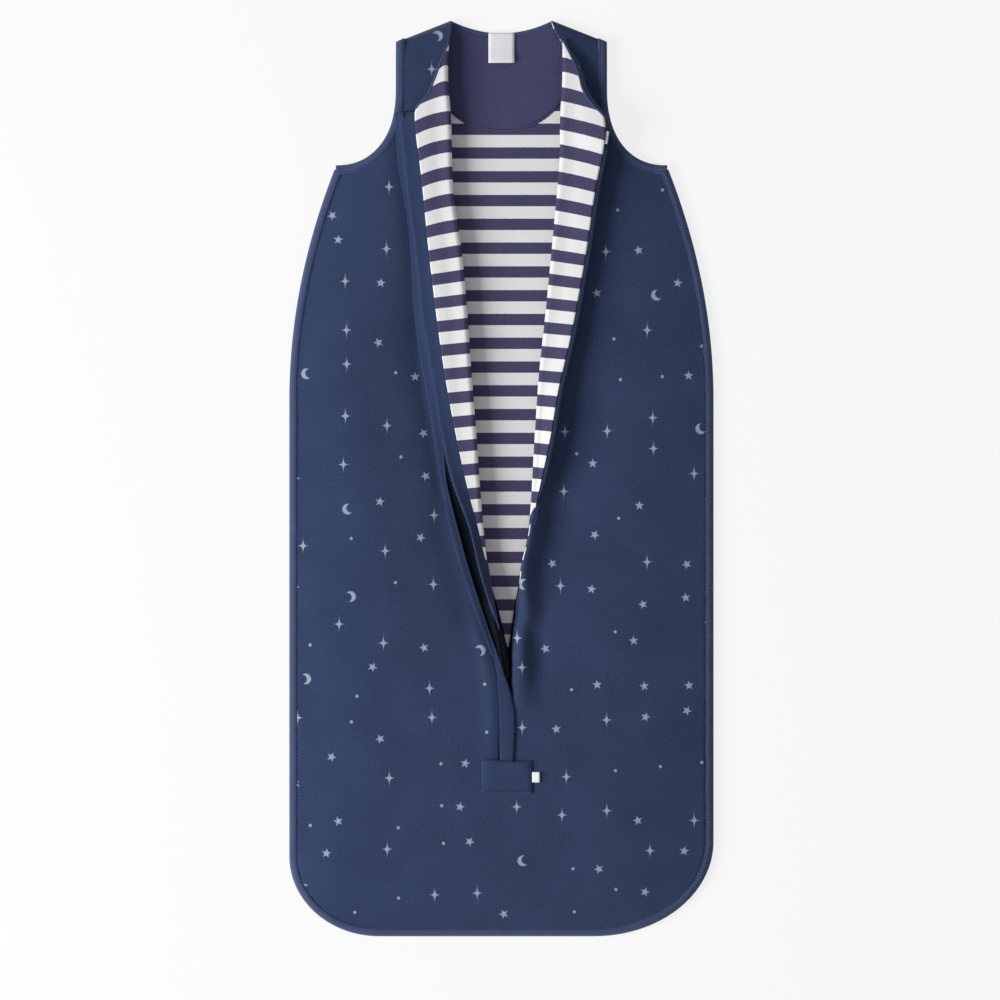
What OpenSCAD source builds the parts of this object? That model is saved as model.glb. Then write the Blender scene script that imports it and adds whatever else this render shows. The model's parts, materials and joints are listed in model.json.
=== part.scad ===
// Baby sleeping bag, lying on its back with the front zip open and both front edges turned back.
// Millimetres. +Z is up, +Y runs from the hem to the neck, the origin is on the floor under the middle.

/* [Body] */
// Length from the hem to the shoulder tips at the neck
bag_length = 880; // [760:10:1000]
// Width across the body
bag_width = 408; // [380:2:460]
// Radius of the two bottom corners
corner_r = 86; // [50:2:110]
// Width between the two armpits
armpit_width = 318; // [300:2:340]
// Height of the shoulder tips above the armpits
armpit_drop = 139; // [125:1:155]
// Length of the stretch where the sides run in to the armpits
taper_len = 225; // [160:5:280]
// How far the front rises between its seams
loft_rise = 9; // [8:0.5:14]
// Width of the stretch over which the front rises from a side seam or the hem
loft_blend = 70; // [50:5:90]
// Width of the stretch over which the front rises from a shoulder seam
shoulder_blend = 22; // [15:1:30]

/* [Shoulders and neck] */
// Width between the outer ends of the shoulders
shoulder_width = 203; // [190:1:220]
// How far the outer ends of the shoulders lie below the neck tips
shoulder_drop = 21; // [10:1:30]
// Length of the upright stretch of an armhole below the shoulder
armhole_straight = 45; // [30:1:60]
// Width of the neck between the shoulder tips
neck_width = 97; // [90:1:110]
// Depth of the back neckline
back_neck_drop = 12; // [8:1:20]
// Half width of the plain facing inside the back neck
facing_half_w = 69; // [55:1:80]
// Depth of the facing below the shoulder tips
facing_drop = 108; // [95:1:130]
// Height of the round lower part of the facing
facing_round = 67; // [50:1:75]

/* [Cloth] */
// Thickness of the printed outer cloth
shell_t = 1.8; // [1.2:0.1:2.4]
// Thickness of the striped lining
lining_t = 1.2; // [0.8:0.1:1.6]
// Thickness of the facing
facing_t = 1.0; // [0.6:0.1:1.4]
// Thickness of one leaf of the edge binding
leaf_t = 0.8; // [0.6:0.1:1.0]
// Thickness of the binding round the cut edges
web_t = 1.2; // [0.8:0.1:2.0]
// Width of the binding on the sides and the hem
bind_w = 8.5; // [6:0.5:11]
// Width of the binding on the armholes
arm_bind_w = 9; // [6:0.5:11]
// Width of the binding on the neck
neck_bind_w = 4.5; // [3:0.5:6]

/* [Front opening] */
// Where the zip line lies to the right of the middle
zip_x = 7.5; // [0:0.5:12]
// Height of the lower end of the zip above the hem
zip_bottom = 154; // [130:2:200]
// Length of the stretch that stays zipped below the open part
zipped_len = 82; // [60:2:110]
// How far the left fold lies to the left of the zip line at the top
left_spread = 59.5; // [50:0.5:66]
// How far the right fold lies to the right of the zip line at the top
right_spread = 52.5; // [48:0.5:60]
// How far the top of the folds lies below the shoulder tips
fold_drop = 35; // [30:1:45]
// How far the front neckline falls along the turned edge
neck_fall = 58; // [45:1:70]
// Inside radius of the turned edge
fold_r = 1.5; // [1.2:0.1:2.5]
// Distance from the turned edge to the line that it swings about
fold_reach = 2; // [1.5:0.1:3]
// How far the left flap stands up from the front, in degrees
left_lift = 3; // [2:0.5:10]
// How far the right flap stands up from the front, in degrees
right_lift = 12; // [11:0.5:16]

/* [Zip] */
// Distance from the left zip line back to the lining
left_set = 13.5; // [12:0.5:16]
// Distance from the right zip line back to the lining
right_set = 7.5; // [7:0.5:9]
// Thickness of the zip tape
tape_t = 0.6; // [0.4:0.1:0.8]
// Thickness of the teeth
teeth_t = 2; // [1.6:0.1:2.4]
// Distance from one tooth to the next
tooth_pitch = 4; // [3.5:0.1:6]
// Width of one tooth
tooth_w = 1.4; // [1:0.1:1.5]
// Width of the rail that carries the teeth
rail_w = 0.9; // [0.6:0.1:1]
// Distance from the back of a rail to the tips of its teeth
teeth_reach = 2.4; // [2:0.1:2.4]
// Thickness of the cover flap over the teeth
cover_t = 1.0; // [0.6:0.1:1.2]
// Thickness of the guard strip behind the teeth
guard_t = 1.2; // [0.8:0.1:1.6]
// Distance from the zip line back to the edges of the cover flap and the guard
cover_set = 4.2; // [4:0.1:6]
// Width of the cover strip over the zipped stretch
cover_strip_w = 16; // [12:1:20]
// Width of the patch over the end of the zip
garage_w = 49; // [40:1:60]
// Height of the patch over the end of the zip
garage_h = 31; // [24:1:40]
// Width of the sewn margin of the patch
garage_seam = 4; // [3:0.5:6]
// Thickness of the patch
garage_t = 1.4; // [1:0.1:2]
// Length of the slider
slider_len = 12; // [10:0.5:14]
// Thickness of a plate of the slider
slider_plate = 0.8; // [0.6:0.1:1]
// Width of the post between the plates of the slider
slider_post = 1.5; // [1:0.1:2]
// Length of the pull
pull_len = 10; // [8:0.5:11]
// Width of the pull
pull_w = 4.2; // [4:0.1:5]
// How far the pull droops from the slider, in degrees
pull_droop = 12; // [8:1:14]

/* [Labels] */
// Width of the care label
label_w = 25; // [20:1:35]
// Length of the care label
label_len = 29; // [20:1:40]
// Width of the small tag in the patch's seam
tag_len = 6; // [5:0.5:10]
// Height of the small tag
tag_h = 10; // [8:1:14]
// Thickness of the label and of the tag
label_t = 0.5; // [0.3:0.1:0.8]

/* [Fits] */
// Clearance between pieces that lie on each other or move past each other
gap = 0.3; // [0.2:0.05:0.4]
// Clearance between cloth layers that are sewn together
layer_gap = 0.1; // [0.05:0.05:0.2]
// Clearance of the pull's eye on its pin
pin_gap = 0.06; // [0.04:0.01:0.1]

/* [Hidden] */
$fn = 48;

// Colours of the cloth and trim
navy = [0.19, 0.24, 0.36];
trim_navy = [0.23, 0.27, 0.38];
stripe_blue = [0.80, 0.80, 0.85];
facing_blue = [0.26, 0.26, 0.38];
tooth_blue = [0.14, 0.18, 0.28];
metal_grey = [0.80, 0.81, 0.84];
label_white = [0.92, 0.91, 0.93];

// Places that follow from the sizes
half_l = bag_length / 2;
half_w = bag_width / 2;
half_arm = armpit_width / 2;
half_sh = shoulder_width / 2;
half_neck = neck_width / 2;
hem_y = -half_l;
armpit_y = half_l - armpit_drop;
shoulder_y = half_l - shoulder_drop;
arm_top_y = shoulder_y - armhole_straight;
taper_y = armpit_y - taper_len;
side_bind_top = armpit_y - arm_bind_w - gap;
arm_power = 0.87;

// Levels of the cloth, from the floor up
back_top = shell_t + lining_t;
seam_z = back_top + gap;
front_t = lining_t + layer_gap + shell_t;
front_low = seam_z + loft_rise;
front_high = front_low + front_t;
edge_high = seam_z + front_t + gap + leaf_t;

// The fold of the turned edge: the axis lies above the front by the fold's inside radius
axis_z = front_high + fold_r;
fold_outer = fold_r + front_t;
fold_inset = fold_reach + fold_outer;
zip_y = hem_y + zip_bottom;
fold_top_y = half_l - fold_drop;
axis_rise = fold_top_y - zip_y;

// Left is side -1 and right is side 1
function spread(side) = side < 0 ? left_spread : right_spread;
function lift(side) = side < 0 ? left_lift : right_lift;
function edge_set(side) = side < 0 ? left_set : right_set;
function fold_angle(side) = atan(spread(side) / axis_rise);
function axis_x(side, y) = zip_x + side * spread(side) * (y - zip_y) / axis_rise;
function fold_edge_x(side, y) =
  (y < zip_y ? zip_x : axis_x(side, y)) + side * fold_inset / cos(fold_angle(side));

// Half width of the body at a height, drawn in by an inset
function side_x(y, inset) =
  y < hem_y + corner_r
    ? half_w - corner_r + sqrt(max(0, pow(corner_r - inset, 2) - pow(hem_y + corner_r - y, 2)))
    : y < taper_y ? half_w - inset
    : half_w - inset - (half_w - half_arm) * pow((y - taper_y) / taper_len, 2);
function corner_point(a, inset) = [half_w - corner_r + (corner_r - inset) * sin(a),
  hem_y + corner_r - (corner_r - inset) * cos(a)];
function arm_point(a, inset) = [half_arm - (half_arm - half_sh + inset) * pow(sin(a), arm_power),
  arm_top_y - (arm_top_y - armpit_y + inset) * pow(cos(a), arm_power)];
function shoulder_line(x) = abs(x) < half_neck ? half_l
  : half_l - shoulder_drop * (abs(x) - half_neck) / (half_sh - half_neck);
function back_neck(x) = half_l - back_neck_drop * (1 - pow(x / half_neck, 2));
function shoulder_end(inset) = [half_sh - inset, shoulder_line(half_sh - inset)];

// The right half of the bag's outline from the hem to the neck, then the whole of it
CORNER_STEPS = 8;
SIDE_STEPS = 6;
ARM_STEPS = 6;
NECK_STEPS = 5;
function half_outline(inset, arm_inset, neck_inset) = concat(
  [for (i = [0:CORNER_STEPS]) corner_point(90 * i / CORNER_STEPS, inset)],
  [for (i = [0:SIDE_STEPS - 1]) let (y = taper_y + (side_bind_top - taper_y) * i / (SIDE_STEPS - 1))
    [side_x(y, inset), y]],
  [for (i = [0:ARM_STEPS]) arm_point(90 * i / ARM_STEPS, arm_inset)],
  [shoulder_end(arm_inset)],
  [for (i = [0:NECK_STEPS]) let (x = half_neck * (1 - i / NECK_STEPS)) [x, back_neck(x) - neck_inset]]);
function mirrored(points) = [for (i = [len(points) - 1:-1:0]) [-points[i][0], points[i][1]]];
function outline(inset, arm_inset, neck_inset) =
  let (half = half_outline(inset, arm_inset, neck_inset)) concat(half, mirrored(half));

module body_plate(inset, low, high) {
  translate([0, 0, low])
    linear_extrude(high - low)
      polygon(outline(inset, arm_bind_w, neck_bind_w));
}

// A band along the sides and the hem between two insets
module side_band(outer, inner, low, high) {
  translate([0, 0, low])
    linear_extrude(high - low)
      intersection() {
        difference() {
          polygon(outline(outer, arm_bind_w, neck_bind_w));
          polygon(outline(inner, arm_bind_w, neck_bind_w));
        }
        translate([-bag_width, hem_y - bind_w])
          square([2 * bag_width, side_bind_top - hem_y + bind_w]);
      }
}

module back_outer() {
  color(navy)
    difference() {
      body_plate(web_t, 0, shell_t);
      side_band(0, bind_w, -leaf_t, leaf_t);
    }
}

module back_lining() {
  color(stripe_blue)
    body_plate(web_t, shell_t, back_top);
}

// The half-moon facing lies on the back lining, under the neck binding
module neck_facing() {
  round_y = half_l - facing_drop + facing_round;
  lower = [for (a = [180:15:360]) [facing_half_w * cos(a), round_y + facing_round * sin(a)]];
  top_r = [facing_half_w, shoulder_line(facing_half_w) - neck_bind_w];
  neck = [for (i = [0:2 * NECK_STEPS]) let (x = half_neck * (1 - i / NECK_STEPS))
    [x, back_neck(x) - neck_bind_w]];
  color(facing_blue)
    translate([0, 0, back_top])
      linear_extrude(facing_t)
        polygon(concat(lower, [top_r], neck, [[-top_r[0], top_r[1]]]));
}

module back_neck_binding() {
  curve = [for (i = [0:2 * NECK_STEPS]) let (x = half_neck * (1 - i / NECK_STEPS)) [x, back_neck(x)]];
  inner = [for (i = [2 * NECK_STEPS:-1:0]) curve[i] - [0, neck_bind_w]];
  color(trim_navy)
    linear_extrude(back_top + facing_t)
      polygon(concat(curve, inner));
}

// How far the front has risen at a point, from 0 at a seam to 1
function ease(v) = let (c = min(1, max(0, v))) c * (2 - c);
function side_line(y) = y < armpit_y ? side_x(y, bind_w) : half_arm - bind_w;
function risen(x, y) = ease((side_line(y) - abs(x)) / loft_blend)
  * ease((y - hem_y - bind_w) / loft_blend) * ease((shoulder_line(x) - y) / shoulder_blend);
function front_z(x, y) = seam_z + loft_rise * risen(x, y);

// Rows of the front from the hem up: outer point, height of the inner end, edge of the binding's cover
LOW_ROWS = 2;
MID_ROWS = 4;
TOP_ROWS = 4;
covered = bind_w + gap;
cut_inset = web_t + 2 * gap;
covered_angle = acos((corner_r - covered) / (corner_r - cut_inset));
function body_row(x, y) = [x, y, y, min(side_x(y, covered), x - bind_w / 2)];
ROWS = concat(
  [body_row(half_w - corner_r, hem_y + cut_inset)],
  [for (i = [0:CORNER_STEPS - 1]) let (
    p = corner_point(covered_angle + (90 - covered_angle) * i / (CORNER_STEPS - 1), cut_inset))
    body_row(p[0], p[1])],
  [for (i = [1:LOW_ROWS]) let (y = hem_y + corner_r + (zip_y - hem_y - corner_r) * i / LOW_ROWS)
    body_row(side_x(y, cut_inset), y)],
  [for (i = [1:MID_ROWS]) let (y = zip_y + (taper_y - zip_y) * i / MID_ROWS)
    body_row(side_x(y, cut_inset), y)],
  [for (i = [1:SIDE_STEPS - 1]) let (y = taper_y + (side_bind_top - taper_y) * i / (SIDE_STEPS - 1))
    body_row(side_x(y, cut_inset), y)],
  [for (i = [0:ARM_STEPS]) let (p = arm_point(90 * i / ARM_STEPS, arm_bind_w))
    [p[0], p[1], p[1], p[0] - bind_w]],
  [for (i = [1:TOP_ROWS]) let (end = shoulder_end(arm_bind_w), half = TOP_ROWS / 2)
    [end[0], arm_top_y + (end[1] - arm_top_y) * i / TOP_ROWS,
     i <= half ? arm_top_y + (fold_top_y - arm_top_y) * i / half
       : fold_top_y + (half_l - fold_top_y) * (i - half) / half, end[0] - bind_w]]);
SLIT_ROW = CORNER_STEPS + LOW_ROWS;
ROW_COUNT = len(ROWS);

// Columns of one half: the outer edge, the edge of the binding's cover, then steps to the fold
HALF_COLS = 7;
COLS = 2 * HALF_COLS + 2;
COL_EASE = 1.2;
function inner_x(side, y) = y <= fold_top_y ? fold_edge_x(side, y)
  : fold_edge_x(side, fold_top_y)
    + (side * half_neck - fold_edge_x(side, fold_top_y)) * (y - fold_top_y) / (half_l - fold_top_y);
function front_point(i, j) =
  let (side = j <= HALF_COLS ? -1 : 1, k = side < 0 ? j : COLS - 1 - j, row = ROWS[i],
    end_x = inner_x(side, row[2]), u = pow(max(0, k - 1) / (HALF_COLS - 1), COL_EASE),
    x = k == 0 ? side * row[0] : side * row[3] + (end_x - side * row[3]) * u,
    across = (x - side * row[0]) / (end_x - side * row[0]))
    [x, row[1] + (row[2] - row[1]) * across];
function has_cell(i, j) = i >= 0 && i < ROW_COUNT - 1 && j >= 0 && j < COLS - 1
  && !(j == HALF_COLS && i >= SLIT_ROW);

// One layer of the front as a closed sheet between two heights above the risen surface
module front_sheet(low, high) {
  flat = [for (i = [0:ROW_COUNT - 1]) for (j = [0:COLS - 1]) front_point(i, j)];
  count = len(flat);
  points = concat([for (p = flat) [p[0], p[1], front_z(p[0], p[1]) + high]],
    [for (p = flat) [p[0], p[1], front_z(p[0], p[1]) + low]]);
  faces = [for (i = [0:ROW_COUNT - 2]) for (j = [0:COLS - 2]) if (has_cell(i, j))
    let (a = i * COLS + j, b = a + 1, d = a + COLS, c = d + 1)
      each concat([[a, d, c], [a, c, b]],
        [[a + count, c + count, d + count], [a + count, b + count, c + count]],
        has_cell(i - 1, j) ? [] : [[a, b, b + count], [a, b + count, a + count]],
        has_cell(i + 1, j) ? [] : [[c, d, d + count], [c, d + count, c + count]],
        has_cell(i, j - 1) ? [] : [[d, a, a + count], [d, a + count, d + count]],
        has_cell(i, j + 1) ? [] : [[b, c, c + count], [b, c + count, b + count]])];
  polyhedron(points, faces);
}

module front_outer() {
  color(navy)
    front_sheet(lining_t + layer_gap, front_t);
}

module front_lining() {
  color(stripe_blue)
    front_sheet(0, lining_t);
}

// A folded strip that wraps the cut edges of the back and the front
module edge_binding() {
  color(trim_navy)
    difference() {
      side_band(0, bind_w, 0, edge_high);
      side_band(web_t - layer_gap, bind_w + gap, leaf_t, edge_high - leaf_t);
    }
}

// One binding runs round each armhole: a flat strip on the back and a rising strip on the front
module armhole_binding(side) {
  steps = concat([for (i = [0:ARM_STEPS]) 90 * i / ARM_STEPS], [91]);
  outer = [for (a = steps) a > 90 ? shoulder_end(0) : arm_point(a, 0)];
  inner = [for (a = steps) a > 90 ? shoulder_end(arm_bind_w) : arm_point(a, arm_bind_w)];
  count = len(steps);
  rings = [for (i = [0:count - 1]) let (z = front_z(inner[i][0], inner[i][1]))
    [[inner[i][0], inner[i][1], z], [inner[i][0], inner[i][1], z + front_t + gap],
     [outer[i][0], outer[i][1], z + front_t + gap], [outer[i][0], outer[i][1], z]]];
  tube = [for (i = [0:count - 2]) for (k = [0:3])
    let (a = 4 * i + k, b = 4 * i + (k + 1) % 4) each [[a, b + 4, b], [a, a + 4, b + 4]]];
  last = 4 * (count - 1);
  caps = [[0, 1, 2], [0, 2, 3], [last, last + 2, last + 1], [last, last + 3, last + 2]];
  color(trim_navy)
    mirror([side < 0 ? 1 : 0, 0, 0]) {
      linear_extrude(back_top)
        polygon(concat(outer, [for (i = [count - 1:-1:0]) inner[i]]));
      polyhedron([for (ring = rings) each ring], concat(tube, caps));
    }
}

module left_armhole_binding() {
  armhole_binding(-1);
}

module right_armhole_binding() {
  armhole_binding(1);
}

// The frame of a fold: x runs out from the axis, y along it from the zip's lower end, z up
module fold_frame(side, raised) {
  translate([zip_x, zip_y, axis_z])
    rotate([0, 0, -side * fold_angle(side)])
      rotate([0, -side * (raised ? lift(side) : 0), 0])
        mirror([side < 0 ? 1 : 0, 0, 0])
          children();
}

// A quarter of the rolled edge, swept along the fold: low is the half under the axis
module rolled_edge(inner, outer, from, to, low) {
  translate([0, to, 0])
    rotate([90, 0, 0])
      linear_extrude(to - from)
        intersection() {
          translate([fold_inset, 0])
            difference() {
              circle(outer);
              circle(inner);
            }
          translate([0, low ? -2 * fold_outer : gap / 2])
            square([fold_inset, 2 * fold_outer - gap / 2]);
        }
}

function along(side, y) = (y - zip_y) / cos(fold_angle(side));

// The turned edge of the front: the part of the roll that stays with the body
module turned_edge(side) {
  color(stripe_blue)
    fold_frame(side, false)
      rolled_edge(fold_r, fold_outer, along(side, zip_y + zipped_len) + fold_inset * tan(fold_angle(side)),
        along(side, fold_top_y) - gap, true);
}

module left_turned_edge() {
  turned_edge(-1);
}

module right_turned_edge() {
  turned_edge(1);
}

// Places in a fold's frame from a length along the zip line and a distance past it
function ray_point(side, p, q) = let (a = fold_angle(side))
  [p * sin(a) + q * cos(a), p * cos(a) - q * sin(a)];
function ray_at_x(side, q, x) = (x - q * cos(fold_angle(side))) / sin(fold_angle(side));

// The front neckline on a flap falls in a scoop from the fold to the zip
FLAP_STEPS = 8;
NECK_IN = [0.65, 0.76];
function flap_top(side) = along(side, fold_top_y) - gap;
function flap_low_y(side) = flap_top(side) - neck_fall;
function flap_edge(side, y) = let (a = fold_angle(side)) [y * tan(a) - edge_set(side) / cos(a), y];
function neck_point(side, u, drawn_in) = let (end_x = flap_edge(side, flap_low_y(side))[0])
  [max(fold_inset, fold_inset + u * (end_x - fold_inset) - drawn_in * NECK_IN[0]),
   flap_top(side) - neck_fall * sin(90 * u) - drawn_in * NECK_IN[1]];
function neck_curve(side, drawn_in) = [for (i = [0:FLAP_STEPS]) neck_point(side, i / FLAP_STEPS, drawn_in)];
function neck_corner(side) = flap_edge(side, flap_low_y(side) - neck_bind_w * NECK_IN[1]);

// The outline of a flap's cloth, from the fold to the lining's edge
function flap_foot(side) = ray_point(side, ray_at_x(side, -edge_set(side), fold_inset), -edge_set(side));
function flap_outline(side) = concat([flap_foot(side)], neck_curve(side, neck_bind_w), [neck_corner(side)]);

module flap_layer(side, inner, outer) {
  fold_frame(side, true) {
    translate([0, 0, inner])
      linear_extrude(outer - inner)
        polygon(flap_outline(side));
    rolled_edge(inner, outer, flap_foot(side)[1], flap_top(side) - neck_bind_w, false);
  }
}

module flap_outer(side) {
  color(navy)
    flap_layer(side, fold_r, fold_r + shell_t);
}

module flap_lining(side) {
  color(stripe_blue)
    flap_layer(side, fold_r + shell_t + layer_gap, fold_outer);
}

module flap_neck_binding(side) {
  outer = neck_curve(side, 0);
  inner = neck_curve(side, neck_bind_w);
  color(trim_navy)
    fold_frame(side, true)
      translate([0, 0, fold_r])
        linear_extrude(front_t)
          polygon(concat(outer, [neck_corner(side)], [for (i = [FLAP_STEPS:-1:0]) inner[i]]));
}

// The frame of a zip edge: x is the distance past the zip line, y the length along it
module ray_frame(side) {
  fold_frame(side, true)
    rotate([0, 0, -fold_angle(side)])
      children();
}

// Levels and ends of the zip on the flaps
tape_level = fold_r + shell_t;
tips_set = slider_post / 2 + gap;
rail_set = tips_set + teeth_reach;
function zip_start(side) = ray_at_x(side, -edge_set(side), fold_reach + gap);
function zip_end(side) = (flap_low_y(side) - neck_bind_w) * cos(fold_angle(side));

module strip(from_x, to_x, from_y, to_y, low, high) {
  translate([from_x, from_y, low])
    cube([to_x - from_x, to_y - from_y, high - low]);
}

// A rail with a row of teeth, standing towards plus x
module tooth_row(from, to, phase) {
  count = floor((to - from) / tooth_pitch - phase);
  linear_extrude(teeth_t, center = true) {
    translate([0, from])
      square([rail_w, to - from]);
    for (i = [0:count - 1])
      translate([rail_w, from + (i + phase) * tooth_pitch])
        square([teeth_reach - rail_w, tooth_w]);
  }
}

module flap_tape(side) {
  color(trim_navy)
    ray_frame(side)
      strip(-edge_set(side), -rail_set, zip_start(side), zip_end(side), tape_level - tape_t / 2,
        tape_level + tape_t / 2);
}

module flap_teeth(side) {
  color(tooth_blue)
    ray_frame(side)
      translate([-rail_set, 0, tape_level])
        tooth_row(zip_start(side), zip_end(side), side < 0 ? 0 : 0.5);
}

// A small block that ends a row of teeth at the top
module top_stop(side) {
  color(tooth_blue)
    ray_frame(side)
      strip(-rail_set, -tips_set, zip_end(side), zip_end(side) + 2 * tooth_w, tape_level - teeth_t / 2,
        tape_level + teeth_t / 2);
}

module left_flap_outer() {
  flap_outer(-1);
}

module left_flap_lining() {
  flap_lining(-1);
}

module left_neck_binding() {
  flap_neck_binding(-1);
}

module left_zip_tape() {
  flap_tape(-1);
}

module left_zip_teeth() {
  flap_teeth(-1);
}

module left_top_stop() {
  top_stop(-1);
}

module right_flap_outer() {
  flap_outer(1);
}

module right_flap_lining() {
  flap_lining(1);
}

module right_neck_binding() {
  flap_neck_binding(1);
}

module right_zip_tape() {
  flap_tape(1);
}

module right_zip_teeth() {
  flap_teeth(1);
}

module right_top_stop() {
  top_stop(1);
}

// A strip inside the left edge that keeps the teeth off the skin
module zip_guard() {
  color(trim_navy)
    ray_frame(-1)
      strip(-left_set, -cover_set, zip_start(-1), zip_end(-1), fold_outer + layer_gap,
        fold_outer + layer_gap + guard_t);
}

// A flap outside the left edge that hides the teeth
module zip_cover_flap() {
  color(trim_navy)
    ray_frame(-1)
      strip(-left_set, -cover_set, zip_start(-1), zip_end(-1), fold_r - layer_gap - cover_t,
        fold_r - layer_gap);
}

// The zipped stretch below the opening, fixed in the slit of the front
lower_level = front_high - shell_t;
module lower_tape(side) {
  top_y = zip_y + zipped_len;
  inner = zip_x + side * rail_set;
  color(trim_navy)
    translate([0, 0, lower_level - tape_t / 2])
      linear_extrude(tape_t)
        polygon([[inner, zip_y], [fold_edge_x(side, zip_y), zip_y], [fold_edge_x(side, top_y), top_y],
          [inner, top_y]]);
}

module lower_teeth(side) {
  color(tooth_blue)
    translate([zip_x, zip_y, lower_level])
      mirror([side < 0 ? 0 : 1, 0, 0])
        translate([-rail_set, 0, 0])
          tooth_row(2 * tooth_pitch, zipped_len, side < 0 ? 0 : 0.5);
}

module lower_left_zip_tape() {
  lower_tape(-1);
}

module lower_right_zip_tape() {
  lower_tape(1);
}

module lower_left_zip_teeth() {
  lower_teeth(-1);
}

module lower_right_zip_teeth() {
  lower_teeth(1);
}

module zip_bottom_stop() {
  color(tooth_blue)
    strip(zip_x - rail_set, zip_x + rail_set, zip_y + tooth_pitch, zip_y + 2 * tooth_pitch - gap,
      lower_level + tape_t / 2, lower_level + tape_t / 2 + teeth_t / 2);
}

module zip_cover_strip() {
  color(trim_navy)
    strip(zip_x - cover_strip_w * 0.7, zip_x + cover_strip_w * 0.3, zip_y - garage_seam,
      zip_y + zipped_len, front_high + gap, front_high + gap + cover_t);
}

// The patch over the zip's lower end, sewn down on three sides and open at the top
garage_x = zip_x - 1.75;
garage_low = zip_y - garage_h / 2;
module zip_garage() {
  roof = front_high + 2 * gap + cover_t;
  left = garage_x - garage_w / 2;
  right = garage_x + garage_w / 2;
  color(trim_navy)
    difference() {
      strip(left, right, garage_low, garage_low + garage_h, front_high, roof + garage_t);
      strip(left + garage_seam, right - garage_seam, garage_low + garage_seam, garage_low + garage_h + gap,
        front_high - gap, roof);
    }
}

// The slider rides on the right teeth: two plates round them, joined by a post at the tips
plate_low = teeth_t / 2 + gap;
pin_r = 0.5;
eye_r = 1;
ear_t = 0.8;
slider_y = zip_end(1) - slider_len - tooth_pitch;
pin_level = -plate_low - slider_plate - gap - eye_r;
eye_w = pull_w - 2 * ear_t - 2 * gap;
module zip_slider() {
  inner = -right_set + 2 * gap + slider_plate;
  outer = tips_set + teeth_reach - rail_w;
  mid = (inner + outer) / 2;
  color(metal_grey)
    ray_frame(1)
      translate([0, slider_y, tape_level]) {
        strip(inner, outer, 0, slider_len, plate_low, plate_low + slider_plate);
        strip(inner, outer, 0, slider_len, -plate_low - slider_plate, -plate_low);
        strip(-slider_post / 2, slider_post / 2, slider_len / 4, slider_len, -plate_low, plate_low);
        for (x = [mid - pull_w / 2, mid + pull_w / 2 - ear_t])
          strip(x, x + ear_t, slider_len - 2 * eye_r - gap, slider_len, pin_level - eye_r,
            -plate_low - slider_plate);
        translate([mid - pull_w / 2, slider_len - eye_r - gap / 2, pin_level])
          rotate([0, 90, 0])
            cylinder(r = pin_r, h = pull_w);
      }
}

// A short tab that hangs on the slider's pin
module slider_pull() {
  inner = -right_set + 2 * gap + slider_plate;
  outer = tips_set + teeth_reach - rail_w;
  mid = (inner + outer) / 2;
  color(metal_grey)
    ray_frame(1)
      translate([mid, slider_y + slider_len - eye_r - gap / 2, tape_level + pin_level])
        rotate([pull_droop, 0, 0])
          difference() {
            union() {
              translate([-eye_w / 2, 0, 0])
                rotate([0, 90, 0])
                  cylinder(r = eye_r, h = eye_w);
              strip(-eye_w / 2, eye_w / 2, -2 * eye_r, 0, -label_t, label_t);
              strip(-pull_w / 2, pull_w / 2, -pull_len, -2 * eye_r, -label_t, label_t);
            }
            translate([-eye_w, 0, 0])
              rotate([0, 90, 0])
                cylinder(r = pin_r + pin_gap, h = 2 * eye_w);
          }
}

// A blank care label, sewn in at the back neck
module care_label() {
  color(label_white)
    strip(-label_w / 2, label_w / 2, back_neck(0) - label_len, back_neck(0), back_top + facing_t + gap,
      back_top + facing_t + gap + label_t);
}

// A blank tag, sewn in at the side of the patch
module side_tag() {
  left = garage_x + garage_w / 2 + gap + label_t / 2;
  middle = garage_low + garage_h / 2;
  color(label_white)
    strip(left, left + tag_len, middle - tag_h / 2, middle + tag_h / 2, front_high + gap,
      front_high + gap + label_t);
}

back_outer();
back_lining();
neck_facing();
back_neck_binding();
front_outer();
front_lining();
edge_binding();
left_armhole_binding();
right_armhole_binding();
left_turned_edge();
right_turned_edge();
lower_left_zip_tape();
lower_right_zip_tape();
lower_left_zip_teeth();
lower_right_zip_teeth();
zip_bottom_stop();
zip_cover_strip();
zip_garage();
left_flap_outer();
left_flap_lining();
left_zip_tape();
left_zip_teeth();
left_top_stop();
zip_guard();
zip_cover_flap();
left_neck_binding();
right_flap_outer();
right_flap_lining();
right_zip_tape();
right_zip_teeth();
right_top_stop();
right_neck_binding();
zip_slider();
slider_pull();
care_label();
side_tag();
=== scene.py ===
# %% [markdown]
# # A baby sleeping bag, seen from above
# The bag lies on its back. Its front zip is open and both front edges are folded back, so the striped
# lining shows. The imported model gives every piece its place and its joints; this lesson dresses it in cloth.
# We work in millimetres and turn them into metres when a mesh is made.

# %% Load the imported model
import json
import math

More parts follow.
